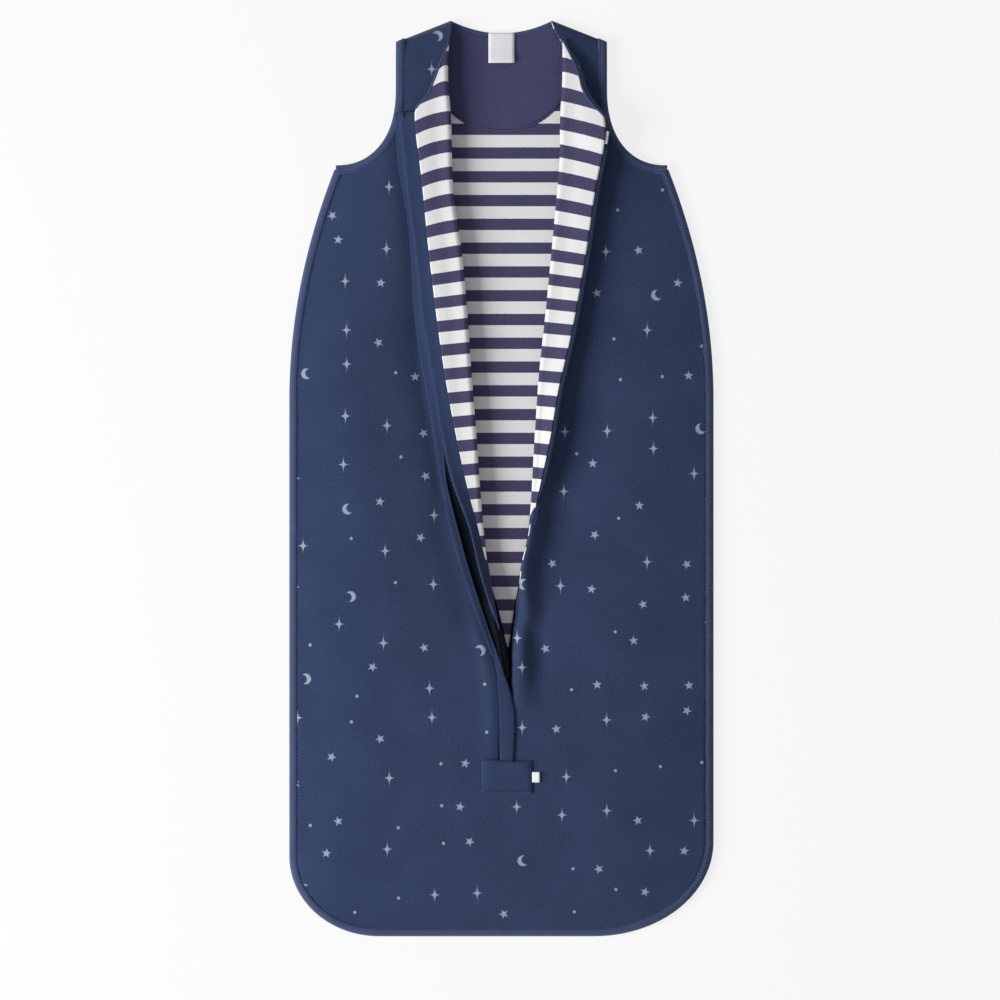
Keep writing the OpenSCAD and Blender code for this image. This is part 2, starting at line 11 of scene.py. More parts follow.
import bmesh
import bpy
import numpy as np
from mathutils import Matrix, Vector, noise

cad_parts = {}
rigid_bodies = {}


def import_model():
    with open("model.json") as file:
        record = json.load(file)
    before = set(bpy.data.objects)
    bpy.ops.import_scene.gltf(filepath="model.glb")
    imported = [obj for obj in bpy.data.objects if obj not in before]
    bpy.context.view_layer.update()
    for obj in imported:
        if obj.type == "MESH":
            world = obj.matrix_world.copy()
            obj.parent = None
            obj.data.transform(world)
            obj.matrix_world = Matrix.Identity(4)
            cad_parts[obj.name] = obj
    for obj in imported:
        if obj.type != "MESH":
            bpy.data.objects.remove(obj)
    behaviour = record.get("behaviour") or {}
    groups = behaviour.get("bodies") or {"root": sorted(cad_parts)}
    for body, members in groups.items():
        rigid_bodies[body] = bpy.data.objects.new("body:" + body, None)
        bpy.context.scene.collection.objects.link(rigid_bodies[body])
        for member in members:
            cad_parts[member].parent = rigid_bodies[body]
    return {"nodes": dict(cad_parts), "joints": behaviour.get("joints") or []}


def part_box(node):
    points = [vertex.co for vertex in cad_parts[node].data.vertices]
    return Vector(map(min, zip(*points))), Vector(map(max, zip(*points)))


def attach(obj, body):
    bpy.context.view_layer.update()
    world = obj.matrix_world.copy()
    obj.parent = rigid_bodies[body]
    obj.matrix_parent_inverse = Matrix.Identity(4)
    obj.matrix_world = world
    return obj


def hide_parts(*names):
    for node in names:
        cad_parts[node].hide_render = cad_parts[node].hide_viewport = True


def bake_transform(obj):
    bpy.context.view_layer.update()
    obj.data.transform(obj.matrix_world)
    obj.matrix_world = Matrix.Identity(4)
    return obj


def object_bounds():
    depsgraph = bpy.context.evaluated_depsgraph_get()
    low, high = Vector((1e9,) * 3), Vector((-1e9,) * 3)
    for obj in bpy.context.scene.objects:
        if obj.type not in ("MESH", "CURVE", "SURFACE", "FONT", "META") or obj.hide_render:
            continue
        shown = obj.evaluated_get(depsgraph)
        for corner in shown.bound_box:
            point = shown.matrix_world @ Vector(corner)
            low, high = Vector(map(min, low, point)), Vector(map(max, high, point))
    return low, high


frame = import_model()
cad_low, cad_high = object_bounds()
MM = 0.001
print("nodes:", len(frame["nodes"]), "box:", [round(v / MM) for v in cad_high - cad_low], "mm")

# %% [markdown]
# ## Camera
# The photograph looks straight down with a long lens, so that nothing leans. One picture pixel is 0.96 mm of
# cloth. We put the camera four metres up and work the lens out from the width that the picture shows.

# %% Camera
scene = bpy.context.scene
scene.view_settings.view_transform = "Standard"
PICTURE_W = 0.96
CAMERA_UP = 4.0
SCALE_HEIGHT = 0.006    # the height at which a pixel shows 0.96 mm
PICTURE_MIDDLE = (-0.0014, -0.0206)
camera_data = bpy.data.cameras.new("overhead_camera")
camera_data.sensor_width = 36
camera_data.lens = camera_data.sensor_width * CAMERA_UP / PICTURE_W
camera = bpy.data.objects.new("overhead_camera", camera_data)
camera.location = (*PICTURE_MIDDLE, CAMERA_UP + SCALE_HEIGHT)
scene.collection.objects.link(camera)
scene.camera = camera
print("lens:", round(camera_data.lens), "mm")

# %% [markdown]
# ## Small tools for materials
# Colours are picked as sRGB hex values, the way a screen shows them, and shaders want linear light. One
# function turns the first into the second, and another adds a node with its settings and its links.


# %% Colour and node helpers
def linear(code):
    """A hex colour such as 3A4766 as linear light."""
    parts = [int(code[i:i + 2], 16) / 255 for i in (0, 2, 4)]
    return tuple(c / 12.92 if c <= 0.04045 else ((c + 0.055) / 1.055) ** 2.4 for c in parts) + (1.0,)


def put(tree, kind, values=None, **settings):
    """Add a node. Values fill its sockets: a number, a colour or another node's output."""
    made = tree.nodes.new("ShaderNode" + kind)
    for key, value in settings.items():
        setattr(made, key, value)
    for socket, value in (values or {}).items():
        if isinstance(value, bpy.types.NodeSocket):
            tree.links.new(value, made.inputs[socket])
        else:
            made.inputs[socket].default_value = value
    return made


def start_material(name):
    """A new material, its node tree and its main shader."""
    material = bpy.data.materials.new(name)
    material.use_nodes = True
    tree = material.node_tree
    return material, tree, tree.nodes["Principled BSDF"]


print("mid grey 808080 is", round(linear("808080")[0], 3), "in linear light")

# %% [markdown]
# ## Floor and light
# A plain white floor carries the bag. What the camera sees of it is mostly its own white, with enough real
# shading left in it to keep the bag's shadow. One large soft lamp stands three metres off on the left, as the
# shadows in the photograph say: the right flap throws a wide soft shadow. A pale world fills the rest.

# %% Floor
FLOOR_HALF = 6.0
FLOOR_DROP = 0.0005
OWN_WHITE = 0.80    # share of plain white in what the camera sees
floor_mesh = bpy.data.meshes.new("studio_floor")
floor_mesh.from_pydata(
    [(x * FLOOR_HALF, y * FLOOR_HALF, -FLOOR_DROP) for x, y in ((-1, -1), (1, -1), (1, 1), (-1, 1))],
    [], [(0, 1, 2, 3)])
floor = bpy.data.objects.new("studio_floor", floor_mesh)
scene.collection.objects.link(floor)
# Matt paper off a roll: an even white without any highlight
paper, tree, shader = start_material("white_paper_sweep")
shader.inputs["Base Color"].default_value = linear("F4F4F4")
shader.inputs["Roughness"].default_value = 0.9
path = put(tree, "LightPath")
seen = put(tree, "Math", {0: path.outputs["Is Camera Ray"], 1: path.outputs["Is Glossy Ray"]},
           operation="MAXIMUM")
seen = put(tree, "Math", {0: seen.outputs[0], 1: path.outputs["Is Transmission Ray"]}, operation="MAXIMUM")
share = put(tree, "Math", {0: seen.outputs[0], 1: OWN_WHITE}, operation="MULTIPLY")
glow = put(tree, "Emission", {"Color": linear("FFFFFF"), "Strength": 1.0})
mixed = put(tree, "MixShader", {0: share.outputs[0], 1: shader.outputs[0], 2: glow.outputs[0]})
tree.links.new(mixed.outputs[0], tree.nodes["Material Output"].inputs["Surface"])
floor_mesh.materials.append(paper)
print("floor:", 2 * FLOOR_HALF, "m wide")

# %% Lamp and world
key_data = bpy.data.lights.new("soft_box", "AREA")
key_data.shape = "RECTANGLE"
key_data.size = 1.15
key_data.size_y = 1.7
key_data.energy = 90
key = bpy.data.objects.new("soft_box", key_data)
key.location = (-2.5, -0.5, 1.7)
key.rotation_euler = (-key.location).to_track_quat("-Z", "Y").to_euler()
scene.collection.objects.link(key)
world = bpy.data.worlds.new("pale_studio")
scene.world = world
world.use_nodes = True
world.node_tree.nodes["Background"].inputs["Color"].default_value = linear("F3F5FA")
world.node_tree.nodes["Background"].inputs["Strength"].default_value = 0.36
print("lamp:", key_data.energy, "W at", round(key.location.length, 1), "m")

# %% [markdown]
# ## The outer cloth
# Brushed cotton jersey, dyed navy and printed with small pale figures. Brushing raises a fine nap: it hides
# the knit, softens every edge and gives a faint bright rim. The print could be painted on a picture, but the
# shader can draw it at any size: a Voronoi pattern scatters cell centres about 42 mm apart, and each cell
# picks one figure, a five-point star, a twinkle, a crescent or a dot. Every cloth carries its flat
# coordinates, in metres, as a UV map called cloth, so all these sizes are real ones.

# %% Nap and mottling shared by the cottons
KNIT_PITCH = 1.9 * MM    # the real wales are 0.8 mm apart; drawn coarser so that they show
NAP_GRAIN = 1.6 * MM     # tufts of the nap, drawn coarser than the real 0.3 mm
MOTTLE = 55 * MM
RELIEF = 0.4 * MM
WAVE = 2 * math.pi / 20    # a wave texture of scale 1 repeats once in this length


def cotton_relief(tree, shader, cloth, depth):
    """Knit wales under a raised nap, as bump; returns the nap's noise for the colour."""
    wales = put(tree, "TexWave", {"Vector": cloth, "Scale": WAVE / KNIT_PITCH,
                                  "Distortion": 1.2, "Detail": 1.0, "Detail Scale": 0.4},
                bands_direction="X")
    nap = put(tree, "TexNoise", {"Vector": cloth, "Scale": 1 / NAP_GRAIN, "Detail": 3.0,
                                 "Roughness": 0.65}, noise_dimensions="2D")
    relief = put(tree, "Mix", {0: 0.7, 2: wales.outputs["Fac"], 3: nap.outputs["Fac"]}, data_type="FLOAT")
    bump = put(tree, "Bump", {"Height": relief.outputs[0], "Strength": depth, "Distance": RELIEF})
    tree.links.new(bump.outputs[0], shader.inputs["Normal"])
    return nap.outputs["Fac"]


def mottled(tree, cloth, nap, dark, light):
    """A dyed colour that drifts between two shades over some centimetres and with the nap."""
    drift = put(tree, "TexNoise", {"Vector": cloth, "Scale": 1 / MOTTLE, "Detail": 4.0, "Roughness": 0.6},
                noise_dimensions="2D")
    both = put(tree, "Mix", {0: 0.72, 2: drift.outputs["Fac"], 3: nap}, data_type="FLOAT")
    shade = put(tree, "MapRange", {0: both.outputs[0], 1: 0.32, 2: 0.68})
    return put(tree, "Mix", {0: shade.outputs[0], 6: linear(dark), 7: linear(light)},
               data_type="RGBA").outputs[2]


print("wales:", round(KNIT_PITCH / MM, 1), "mm, nap:", round(NAP_GRAIN / MM, 1), "mm")

# %% Figures of the print
STAR_R = 4.4 * MM
STAR_SIDE = math.radians(67.4)    # direction in which a star's straight side lies nearest to its middle
TWINKLE = (6.6 * MM, 10.0 * MM)
TWINKLE_POWER = 0.38              # less makes thinner arms
MOON_R = 5.1 * MM
BITE_R = 0.86 * MOON_R
BITE_AT = (0.62 * MOON_R, 0.12 * MOON_R, 0)
INK_EDGE = 0.45 * MM


def inked(tree, distance, radius):
    """1 within a radius and 0 beyond it, with the soft edge of ink on nap."""
    return put(tree, "MapRange", {0: distance, 1: radius + INK_EDGE, 2: radius - INK_EDGE}).outputs[0]


def star(tree, turned, radius):
    """A five-point star: the angle is folded into half a tip, which one straight side bounds."""
    place = put(tree, "SeparateXYZ", {0: turned}).outputs
    angle = put(tree, "Math", {0: place[0], 1: place[1]}, operation="ARCTAN2").outputs[0]
    folded = put(tree, "Math", {0: angle, 1: math.pi / 5}, operation="PINGPONG").outputs[0]
    from_side = put(tree, "Math", {0: folded, 1: STAR_SIDE}, operation="SUBTRACT").outputs[0]
    lean = put(tree, "Math", {0: from_side}, operation="COSINE").outputs[0]
    reach = put(tree, "Math", {0: radius, 1: lean}, operation="MULTIPLY").outputs[0]
    return inked(tree, reach, STAR_R * math.cos(STAR_SIDE))


def twinkle(tree, local):
    """Four thin hollow-sided arms, the upright pair longer."""
    size = put(tree, "VectorMath", {0: local}, operation="ABSOLUTE").outputs[0]
    share = put(tree, "VectorMath", {0: size, 1: (*TWINKLE, 1.0)}, operation="DIVIDE").outputs[0]
    shares = put(tree, "SeparateXYZ", {0: share}).outputs
    roots = [put(tree, "Math", {0: part, 1: TWINKLE_POWER}, operation="POWER").outputs[0]
             for part in (shares[0], shares[1])]
    arms = put(tree, "Math", {0: roots[0], 1: roots[1]}, operation="ADD").outputs[0]
    return put(tree, "MapRange", {0: arms, 1: 1.10, 2: 0.95}).outputs[0]


def crescent(tree, local, radius, tilt, coin):
    """A disc with a second disc taken out of its left or right side, as the coin falls."""
    disc = inked(tree, radius, MOON_R)
    half_turn = put(tree, "Math", {0: coin, 1: 0.5}, operation="GREATER_THAN").outputs[0]
    angle = put(tree, "Math", {0: half_turn, 1: math.pi, 2: tilt}, operation="MULTIPLY_ADD").outputs[0]
    faced = put(tree, "VectorRotate", {"Vector": local, "Angle": angle}, rotation_type="Z_AXIS").outputs[0]
    bite = put(tree, "VectorMath", {0: faced, 1: BITE_AT}, operation="DISTANCE").outputs["Value"]
    left = put(tree, "MapRange", {0: bite, 1: BITE_R - INK_EDGE, 2: BITE_R + INK_EDGE}).outputs[0]
    return put(tree, "Math", {0: disc, 1: left}, operation="MULTIPLY").outputs[0]


print("star:", round(2 * STAR_R / MM, 1), "mm, twinkle:", round(2 * TWINKLE[1] / MM), "mm tall")

# %% Scatter of the figures
CELL = 42 * MM
SCATTER = 0.72
TILT = 0.5
DOT_R = 1.45 * MM
STAR_BELOW, TWINKLE_BELOW, MOON_BELOW = 0.40, 0.67, 0.78    # a cell's random number picks its figure


def printed_figures(tree, cloth):
    """One figure in each Voronoi cell, as a mask from 0 to 1."""
    cells = put(tree, "TexVoronoi", {"Vector": cloth, "Scale": 1 / CELL, "Randomness": SCATTER},
                voronoi_dimensions="2D")
    middle = cells.outputs["Position"]
    local = put(tree, "VectorMath", {0: cloth, 1: middle}, operation="SUBTRACT").outputs[0]
    radius = put(tree, "VectorMath", {0: local}, operation="LENGTH").outputs["Value"]
    draw = put(tree, "SeparateColor", {0: cells.outputs["Color"]}).outputs
    tilt = put(tree, "MapRange", {0: draw[1], 3: -TILT, 4: TILT}).outputs[0]
    turned = put(tree, "VectorRotate", {"Vector": local, "Angle": tilt}, rotation_type="Z_AXIS").outputs[0]
    stars = star(tree, turned, radius)
    twinkles = twinkle(tree, local)
    moons = crescent(tree, local, radius, tilt, draw[2])
    figure = inked(tree, radius, DOT_R)
    for shape, below in ((moons, MOON_BELOW), (twinkles, TWINKLE_BELOW), (stars, STAR_BELOW)):
        chosen = put(tree, "Math", {0: draw[0], 1: below}, operation="LESS_THAN").outputs[0]
        figure = put(tree, "Mix", {0: chosen, 2: figure, 3: shape}, data_type="FLOAT").outputs[0]
    return figure


print("one figure every", round(CELL / MM), "mm")


# %% Brushed cottons
def brushed_cotton(name, dark, light, ink=None, sheen=0.12):
    """Brushed cotton jersey; with an ink colour it carries the print, which the nap wears a little."""
    material, tree, shader = start_material(name)
    cloth = put(tree, "UVMap", uv_map="cloth").outputs[0]
    nap = cotton_relief(tree, shader, cloth, 0.35)
    colour = mottled(tree, cloth, nap, dark, light)
    if ink:
        worn = put(tree, "MapRange", {0: nap, 1: 0.25, 2: 0.5, 3: 0.62, 4: 1.0}).outputs[0]
        figures = printed_figures(tree, cloth)
        amount = put(tree, "Math", {0: figures, 1: worn}, operation="MULTIPLY").outputs[0]
        colour = put(tree, "Mix", {0: amount, 6: colour, 7: linear(ink)}, data_type="RGBA").outputs[2]
    tree.links.new(colour, shader.inputs["Base Color"])
    shader.inputs["Roughness"].default_value = 0.92
    shader.inputs["Specular IOR Level"].default_value = 0.18
    shader.inputs["Sheen Weight"].default_value = sheen
    shader.inputs["Sheen Roughness"].default_value = 0.5
    return material


# Printed jersey: deep soft navy, with pale ink that lies flat in it
outer_cotton = brushed_cotton("brushed_cotton_jersey_printed", "293655", "39486A", ink="A0ACC0")
# Binding: the fold stretches the cloth, so more nap stands up and gives more sheen; its colour is painted
# lighter than the cloth's, as painted light on the raised roll
binding_cotton_painted_light = brushed_cotton("brushed_cotton_binding", "364365", "48567B", sheen=0.3)
# Strips along the zip: the outer cloth without the print
trim_cotton = brushed_cotton("brushed_cotton_strip", "293656", "39486B")
# Facing: plain jersey of the lining's navy yarn, flat and a little purple
facing_cotton = brushed_cotton("cotton_jersey_facing", "3F3F61", "505074", sheen=0.06)
print("cottons:", outer_cotton.name, binding_cotton_painted_light.name, trim_cotton.name, facing_cotton.name)

# %% [markdown]
# ## The striped lining
# Plain cotton jersey, knitted from white and purplish navy yarn in turn, so the stripes are in the cloth and
# their edges are a little uneven, one stitch at a time. The stripe comes from the cloth coordinate along the
# length: a white band and a navy band make one repeat.

# %% Striped jersey
STRIPE_REPEAT = 22.85 * MM
WHITE_SHARE = 0.52
STRIPE_EDGE = 0.02
UNEVEN = 0.5 * MM
# Yarn dyed: both colours go right through, matt and without a printed look
stripes, tree, shader = start_material("yarn_dyed_striped_jersey")
cloth = put(tree, "UVMap", uv_map="cloth").outputs[0]
nap = cotton_relief(tree, shader, cloth, 0.3)
length = put(tree, "SeparateXYZ", {0: cloth}).outputs[1]
uneven = put(tree, "Math", {0: nap, 1: UNEVEN, 2: length}, operation="MULTIPLY_ADD")
repeat = put(tree, "Math", {0: uneven.outputs[0], 1: STRIPE_REPEAT}, operation="DIVIDE")
phase = put(tree, "Math", {0: repeat.outputs[0]}, operation="FRACT")
rise = put(tree, "MapRange", {0: phase.outputs[0], 1: 0.0, 2: STRIPE_EDGE})
fall = put(tree, "MapRange", {0: phase.outputs[0], 1: WHITE_SHARE + STRIPE_EDGE, 2: WHITE_SHARE})
band = put(tree, "Math", {0: rise.outputs[0], 1: fall.outputs[0]}, operation="MULTIPLY")
navy_yarn = mottled(tree, cloth, nap, "424161", "545170")
white_yarn = mottled(tree, cloth, nap, "ECEAEA", "F8F6F5")
colour = put(tree, "Mix", {0: band.outputs[0], 6: navy_yarn, 7: white_yarn}, data_type="RGBA")
tree.links.new(colour.outputs[2], shader.inputs["Base Color"])
shader.inputs["Roughness"].default_value = 0.9
shader.inputs["Specular IOR Level"].default_value = 0.18
print("stripe repeat:", STRIPE_REPEAT / MM, "mm, white", round(STRIPE_REPEAT * WHITE_SHARE / MM, 1), "mm")

# %% [markdown]
# ## Zip, metal, label and thread
# The zip's tape is woven polyester; its colour is painted nearly black, darker than its own navy, as painted
# shade. Its teeth are moulded plastic with a soft gloss; the slider is die-cast zinc under pale grey paint;
# the label is white satin ribbon with a fine warp; the seams are sewn with spun polyester thread. Two
# functions are
# enough: one weaves, one gives a fine grain.


# %% Small materials
def woven(name, dark, light, thread, roughness, specular, sheen=0.0):
    """A plain weave: two crossed waves at the thread spacing give colour and relief."""
    material, tree, shader = start_material(name)
    cloth = put(tree, "UVMap", uv_map="cloth").outputs[0]
    waves = [put(tree, "TexWave", {"Vector": cloth, "Scale": WAVE / thread, "Distortion": 0.4},
                 bands_direction=axis).outputs["Fac"] for axis in "XY"]
    weave = put(tree, "Math", {0: waves[0], 1: waves[1]}, operation="MULTIPLY")
    colour = put(tree, "Mix", {0: weave.outputs[0], 6: linear(dark), 7: linear(light)}, data_type="RGBA")
    bump = put(tree, "Bump", {"Height": weave.outputs[0], "Strength": 0.4, "Distance": 0.2 * MM})
    tree.links.new(colour.outputs[2], shader.inputs["Base Color"])
    tree.links.new(bump.outputs[0], shader.inputs["Normal"])
    shader.inputs["Roughness"].default_value = roughness
    shader.inputs["Specular IOR Level"].default_value = specular
    shader.inputs["Sheen Weight"].default_value = sheen
    return material


def grainy(name, dark, light, grain, roughness):
    """A moulded, painted or spun surface: fine grain in the colour, the gloss and the relief."""
    material, tree, shader = start_material(name)
    place = put(tree, "TexCoord").outputs["Object"]
    speck = put(tree, "TexNoise", {"Vector": place, "Scale": 1 / grain, "Detail": 3.0})
    colour = put(tree, "Mix", {0: speck.outputs["Fac"], 6: linear(dark), 7: linear(light)}, data_type="RGBA")
    gloss = put(tree, "MapRange", {0: speck.outputs["Fac"], 3: roughness - 0.08, 4: roughness + 0.08})
    bump = put(tree, "Bump", {"Height": speck.outputs["Fac"], "Strength": 0.15, "Distance": 0.1 * MM})
    tree.links.new(colour.outputs[2], shader.inputs["Base Color"])
    tree.links.new(gloss.outputs[0], shader.inputs["Roughness"])
    tree.links.new(bump.outputs[0], shader.inputs["Normal"])
    return material


# Tape: a dense weave, matt, painted nearly black, darker than its own navy, as painted shade of the gaps where
# it shows. Its threads and the ribbon's are drawn coarser than real ones, to show
zip_tape = woven("woven_polyester_zip_tape", "080B14", "131927", 1.4 * MM, 0.8, 0.08)
# Satin: long floats of bright yarn give a soft shine
satin_label = woven("white_satin_ribbon", "F1F0F5", "FCFBFE", 1.2 * MM, 0.45, 0.4, sheen=0.1)
# Acetal: smooth from the mould, with small soft glints
acetal = grainy("moulded_acetal_teeth", "10151F", "1C2334", 2 * MM, 0.35)
# Painted zinc: the paint hides the metal, so it shines like enamel
painted_zinc = grainy("painted_zinc_die_casting", "C9CBD2", "DADCE2", 3 * MM, 0.35)
# Spun thread: fuzzy and matt; its colour is painted darker than the cloth, as painted shade of the groove it
# lies in
thread = grainy("spun_polyester_thread", "1B2238", "2A334E", 0.8 * MM, 0.75)
print("small materials:", zip_tape.name, satin_label.name, acetal.name, painted_zinc.name, thread.name)

# %% [markdown]
# ## Cloth from a grid
# A cut piece of cloth is a grid of points: rows run up the bag and columns run across it. The same grid,
# laid flat, gives the cloth coordinates that carry print and stripes. Solidify then gives the cloth its
# thickness. A cloth simulation could find the folds too, but this bag lies flat, and its folds are known.


# %% Pieces from points
def new_piece(name, points, faces, material, flat=None):
    """A mesh piece from points in mm; flat gives each point its place on the flat cloth."""
    mesh = bpy.data.meshes.new(name)
    mesh.from_pydata((points.reshape(-1, 3) * MM).tolist(), [], faces)
    if flat is not None:
        layer = mesh.uv_layers.new(name="cloth")
        corners = np.array([loop.vertex_index for loop in mesh.loops])
        layer.data.foreach_set("uv", (flat.reshape(-1, 2)[corners] * MM).ravel())
    mesh.materials.append(material)
    piece = bpy.data.objects.new(name, mesh)
    scene.collection.objects.link(piece)
    return piece


WELD = 0.02 * MM


def cloth_piece(name, grid, flat, material, thickness, keep=None):
    """A sheet from grid points and flat cloth points, both in mm. Columns run to +X and rows to +Y."""
    rows, cols = grid.shape[:2]
    faces = [(i * cols + j, i * cols + j + 1, (i + 1) * cols + j + 1, (i + 1) * cols + j)
             for i in range(rows - 1) for j in range(cols - 1) if keep is None or keep[i, j]]
    piece = new_piece(name, grid, faces, material, flat)
    welded = bmesh.new()
    welded.from_mesh(piece.data)
    bmesh.ops.remove_doubles(welded, verts=welded.verts, dist=WELD)
    bmesh.ops.delete(welded, geom=[v for v in welded.verts if not v.link_faces], context="VERTS")
    welded.to_mesh(piece.data)
    welded.free()
    piece.data.shade_smooth()
    skin = piece.modifiers.new("cloth_thickness", "SOLIDIFY")
    skin.thickness = thickness * MM
    skin.offset = -1
    print(name, grid.shape[:2], "points,", thickness, "mm thick")
    return piece


# %% [markdown]
# ## The bag's outline
# The sides run straight, then in to the armpits; the hem has two round corners, and the right one is the
# rounder because the bag lies a little skew. The armholes are quarter curves, and short shoulder seams lead
# to the neck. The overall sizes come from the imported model.

# %% Outline
edge_low, edge_high = (np.array(c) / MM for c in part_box("edge_binding"))
arm_low, arm_high = (np.array(c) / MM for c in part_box("right_armhole_binding"))
BIND_W = 8.5
ARM_BIND_W = 9.0
HALF_W = edge_high[0]
HEM = edge_low[1]
SIDE_TOP = edge_high[1]
SHOULDER_DROP = 21
NECK_TIP = (48.5, cad_high[1] / MM)
ARMPIT = (arm_high[0], arm_low[1] + ARM_BIND_W)
SHOULDER = (arm_low[0] + ARM_BIND_W, NECK_TIP[1] - SHOULDER_DROP)
ARM_STRAIGHT = 45
TAPER = 225
CORNER = {-1: (86, 77), 1: (115, 91)}
ARM_POWER = 0.87


def side_x(side, y, inset=0.0):
    """Half width of the bag at a height, drawn in by an inset."""
    wide, high = CORNER[side]
    low = HEM + high
    drop = np.clip((low - y) / (high - inset), 0, 1)
    corner = HALF_W - wide + (wide - inset) * np.sqrt(1 - drop ** 2)
    taper = (HALF_W - ARMPIT[0]) * np.clip((y - ARMPIT[1] + TAPER) / TAPER, 0, None) ** 2
    return np.where(y < low, corner, HALF_W - inset - taper)


def arm_point(turn, inset=0.0):
    """A point of the right armhole: turn runs from 0 at the armpit to 1 at its upright stretch."""
    top = SHOULDER[1] - ARM_STRAIGHT
    a = np.clip(turn, 0, 1) * math.pi / 2
    x = ARMPIT[0] - (ARMPIT[0] - SHOULDER[0] + inset) * np.sin(a) ** ARM_POWER
    y = top - (top - ARMPIT[1] + inset) * np.cos(a) ** ARM_POWER
    return x, np.where(turn > 1, top + (turn - 1) * (SHOULDER[1] - top), y)


def shoulder_y(x):
    """Height of the shoulder seam."""
    share = np.clip((np.abs(x) - NECK_TIP[0]) / (SHOULDER[0] - NECK_TIP[0]), 0, 1)
    return NECK_TIP[1] + (SHOULDER[1] - NECK_TIP[1]) * share


print("half width", HALF_W, "hem", HEM, "armpit", ARMPIT, "shoulder", SHOULDER)

# %% [markdown]
# ## The lines of the opening
# Where cloth folds, the photograph is the best guide. For each side a few points give the fold, the edge of
# the lining beyond it and, on the left, the strips along the zip. Heights are measured up the bag from its
# middle, and each pair is (height, distance to the right of the middle), in millimetres.


# %% Lines of the opening
def smooth_line(points):
    """A smooth curve x(y) through a few listed (y, x) points, in mm."""
    ys, xs = np.array(sorted(points), float).T
    slopes = np.gradient(xs, ys)

    def at(y):
        y = np.clip(y, ys[0], ys[-1])
        i = np.clip(np.searchsorted(ys, y) - 1, 0, len(ys) - 2)
        h = ys[i + 1] - ys[i]
        t = (y - ys[i]) / h
        return ((1 + 2 * t) * (1 - t) ** 2 * xs[i] + t * (1 - t) ** 2 * h * slopes[i]
                + t * t * (3 - 2 * t) * xs[i + 1] + t * t * (t - 1) * h * slopes[i + 1])
    return at


FOLD = {
    -1: smooth_line([(418, -50), (383, -51), (350, -48.5), (271, -45.5), (225, -39), (75, -26.5),
                     (-103, -10), (-126, -6), (-162, 2.5), (-204, 8.2)]),
    1: smooth_line([(420, 58.5), (378, 58), (343, 56), (316, 56), (245, 50.4), (171, 43.4), (89, 35),
                    (44, 32), (-34, 27.4), (-59, 25.5), (-79, 20.6), (-105, 16.8), (-125, 13),
                    (-162, 9.6), (-204, 9)]),
}
LINING_EDGE = {
    -1: smooth_line([(418, -50.5), (393, -60), (378, -65.8), (368, -70), (362, -74.8), (357, -80),
                     (353, -82.6), (347, -83), (330, -82), (303, -78.5), (207, -68.5), (92, -53), (24, -40),
                     (-20, -30), (-69, -18.7), (-123, -6.2), (-155, -0.6), (-190, 4.6)]),
    1: smooth_line([(420, 59), (402, 67.7), (388, 73.4), (369, 79.2), (356, 88), (347, 97), (338, 99),
                    (326, 98.6), (311, 96.8), (287, 91.7), (215, 80.7), (127, 64.3), (89, 55.2), (39, 46.6),
                    (-11, 36), (-45, 28.6)]),
}
NECK_CORNER = {-1: 353, 1: 347}
FOLD_TOP = {-1: 418, 1: 420}
FOLD_FOOT = {-1: -190, 1: -45}
BUCKLE = -38
GUARD_EDGE = smooth_line([(351, -98), (303, -94), (210, -82.5), (152, -76), (95, -66.5), (61, -61), (0, -48),
                          (-50, -29.3), (-87, -20.6), (-123, -9.6), (-155, -2), (-190, 4)])
COVER_OUT = smooth_line([(351, -102), (303, -99.4), (255, -91.2), (134, -81), (61, -68.6), (0, -59),
                         (-50, -49.4), (-123, -27.4), (-151, -16.8), (-186, -4.2), (-204, -2.4), (-290, -2)])
COVER_IN = smooth_line([(351, -93.5), (315, -90.2), (210, -77.3), (152, -70.6), (95, -61.4), (37, -55.5),
                        (0, -53.3), (-50, -41.3), (-87, -31.2), (-123, -19.7), (-155, -9.1), (-184, 1.4),
                        (-204, 8.6), (-290, 11)])
PANEL_EDGE = {
    -1: smooth_line([(438, -47.5), (418, -50), (395, -56), (350, -62), (271, -64), (134, -66), (61, -61),
                     (0, -56), (-50, -45), (-103, -29), (-150, -14), (-190, -4), (-300, -4)]),
    1: smooth_line([(438, 48.5), (420, 58.5), (395, 64), (343, 66), (171, 53.4), (44, 42), (0, 38),
                    (-38, 29), (-59, 25.5), (-79, 20.6), (-105, 16.8), (-125, 13), (-162, 9.6),
                    (-204, 10), (-300, 11)]),
}
V_FOOT = -204
SLIT_MIDDLE = 3.5
SLIT_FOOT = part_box("zip_cover_strip")[0].y / MM
print("the slit ends", SLIT_FOOT - HEM, "mm above the hem")

# %% [markdown]
# ## How high the front lies
# The front is sewn to the back at the sides, the hem and the shoulders, and rises between these seams. Along
# the opening it is not even: the freed edge on the right buckles into a roll with a hollow beside it, and on
# the left the cloth dips towards the strip that covers the zip. Slow ripples keep the rest from being flat.
# A name that ends in _H is a height or a depth and one in _W a width. A pair such as (-235, -155) tells
# between which two places a form grows or fades, mostly heights up the bag.

# %% Layers and soft steps
joints = {j["name"]: j for j in frame["joints"]}
AXIS_Z = joints["left_flap_fold"]["pos_m"][2] / MM
PANEL_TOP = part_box("front_outer")[1].z / MM
BACK_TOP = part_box("back_lining")[1].z / MM
SHELL_T = 1.8
LINING_T = 1.2
LAYER_GAP = 0.1
FRONT_T = SHELL_T + LAYER_GAP + LINING_T
LOFT = 9.0
SIDE_BLEND = {-1: 70, 1: 130}    # how far in from a side seam the cloth is still rising
SHOULDER_BLEND = 22


def ease(v):
    """From 0 to 1 with a soft end."""
    c = np.clip(v, 0, 1)
    return c * (2 - c)


def step(v):
    """From 0 to 1 with both ends soft."""
    c = np.clip(v, 0, 1)
    return c * c * (3 - 2 * c)


def ramp(v, start, full):
    """From 0 at start to 1 at full, with both ends soft; it may run up or down."""
    return step((v - start) / (full - start))


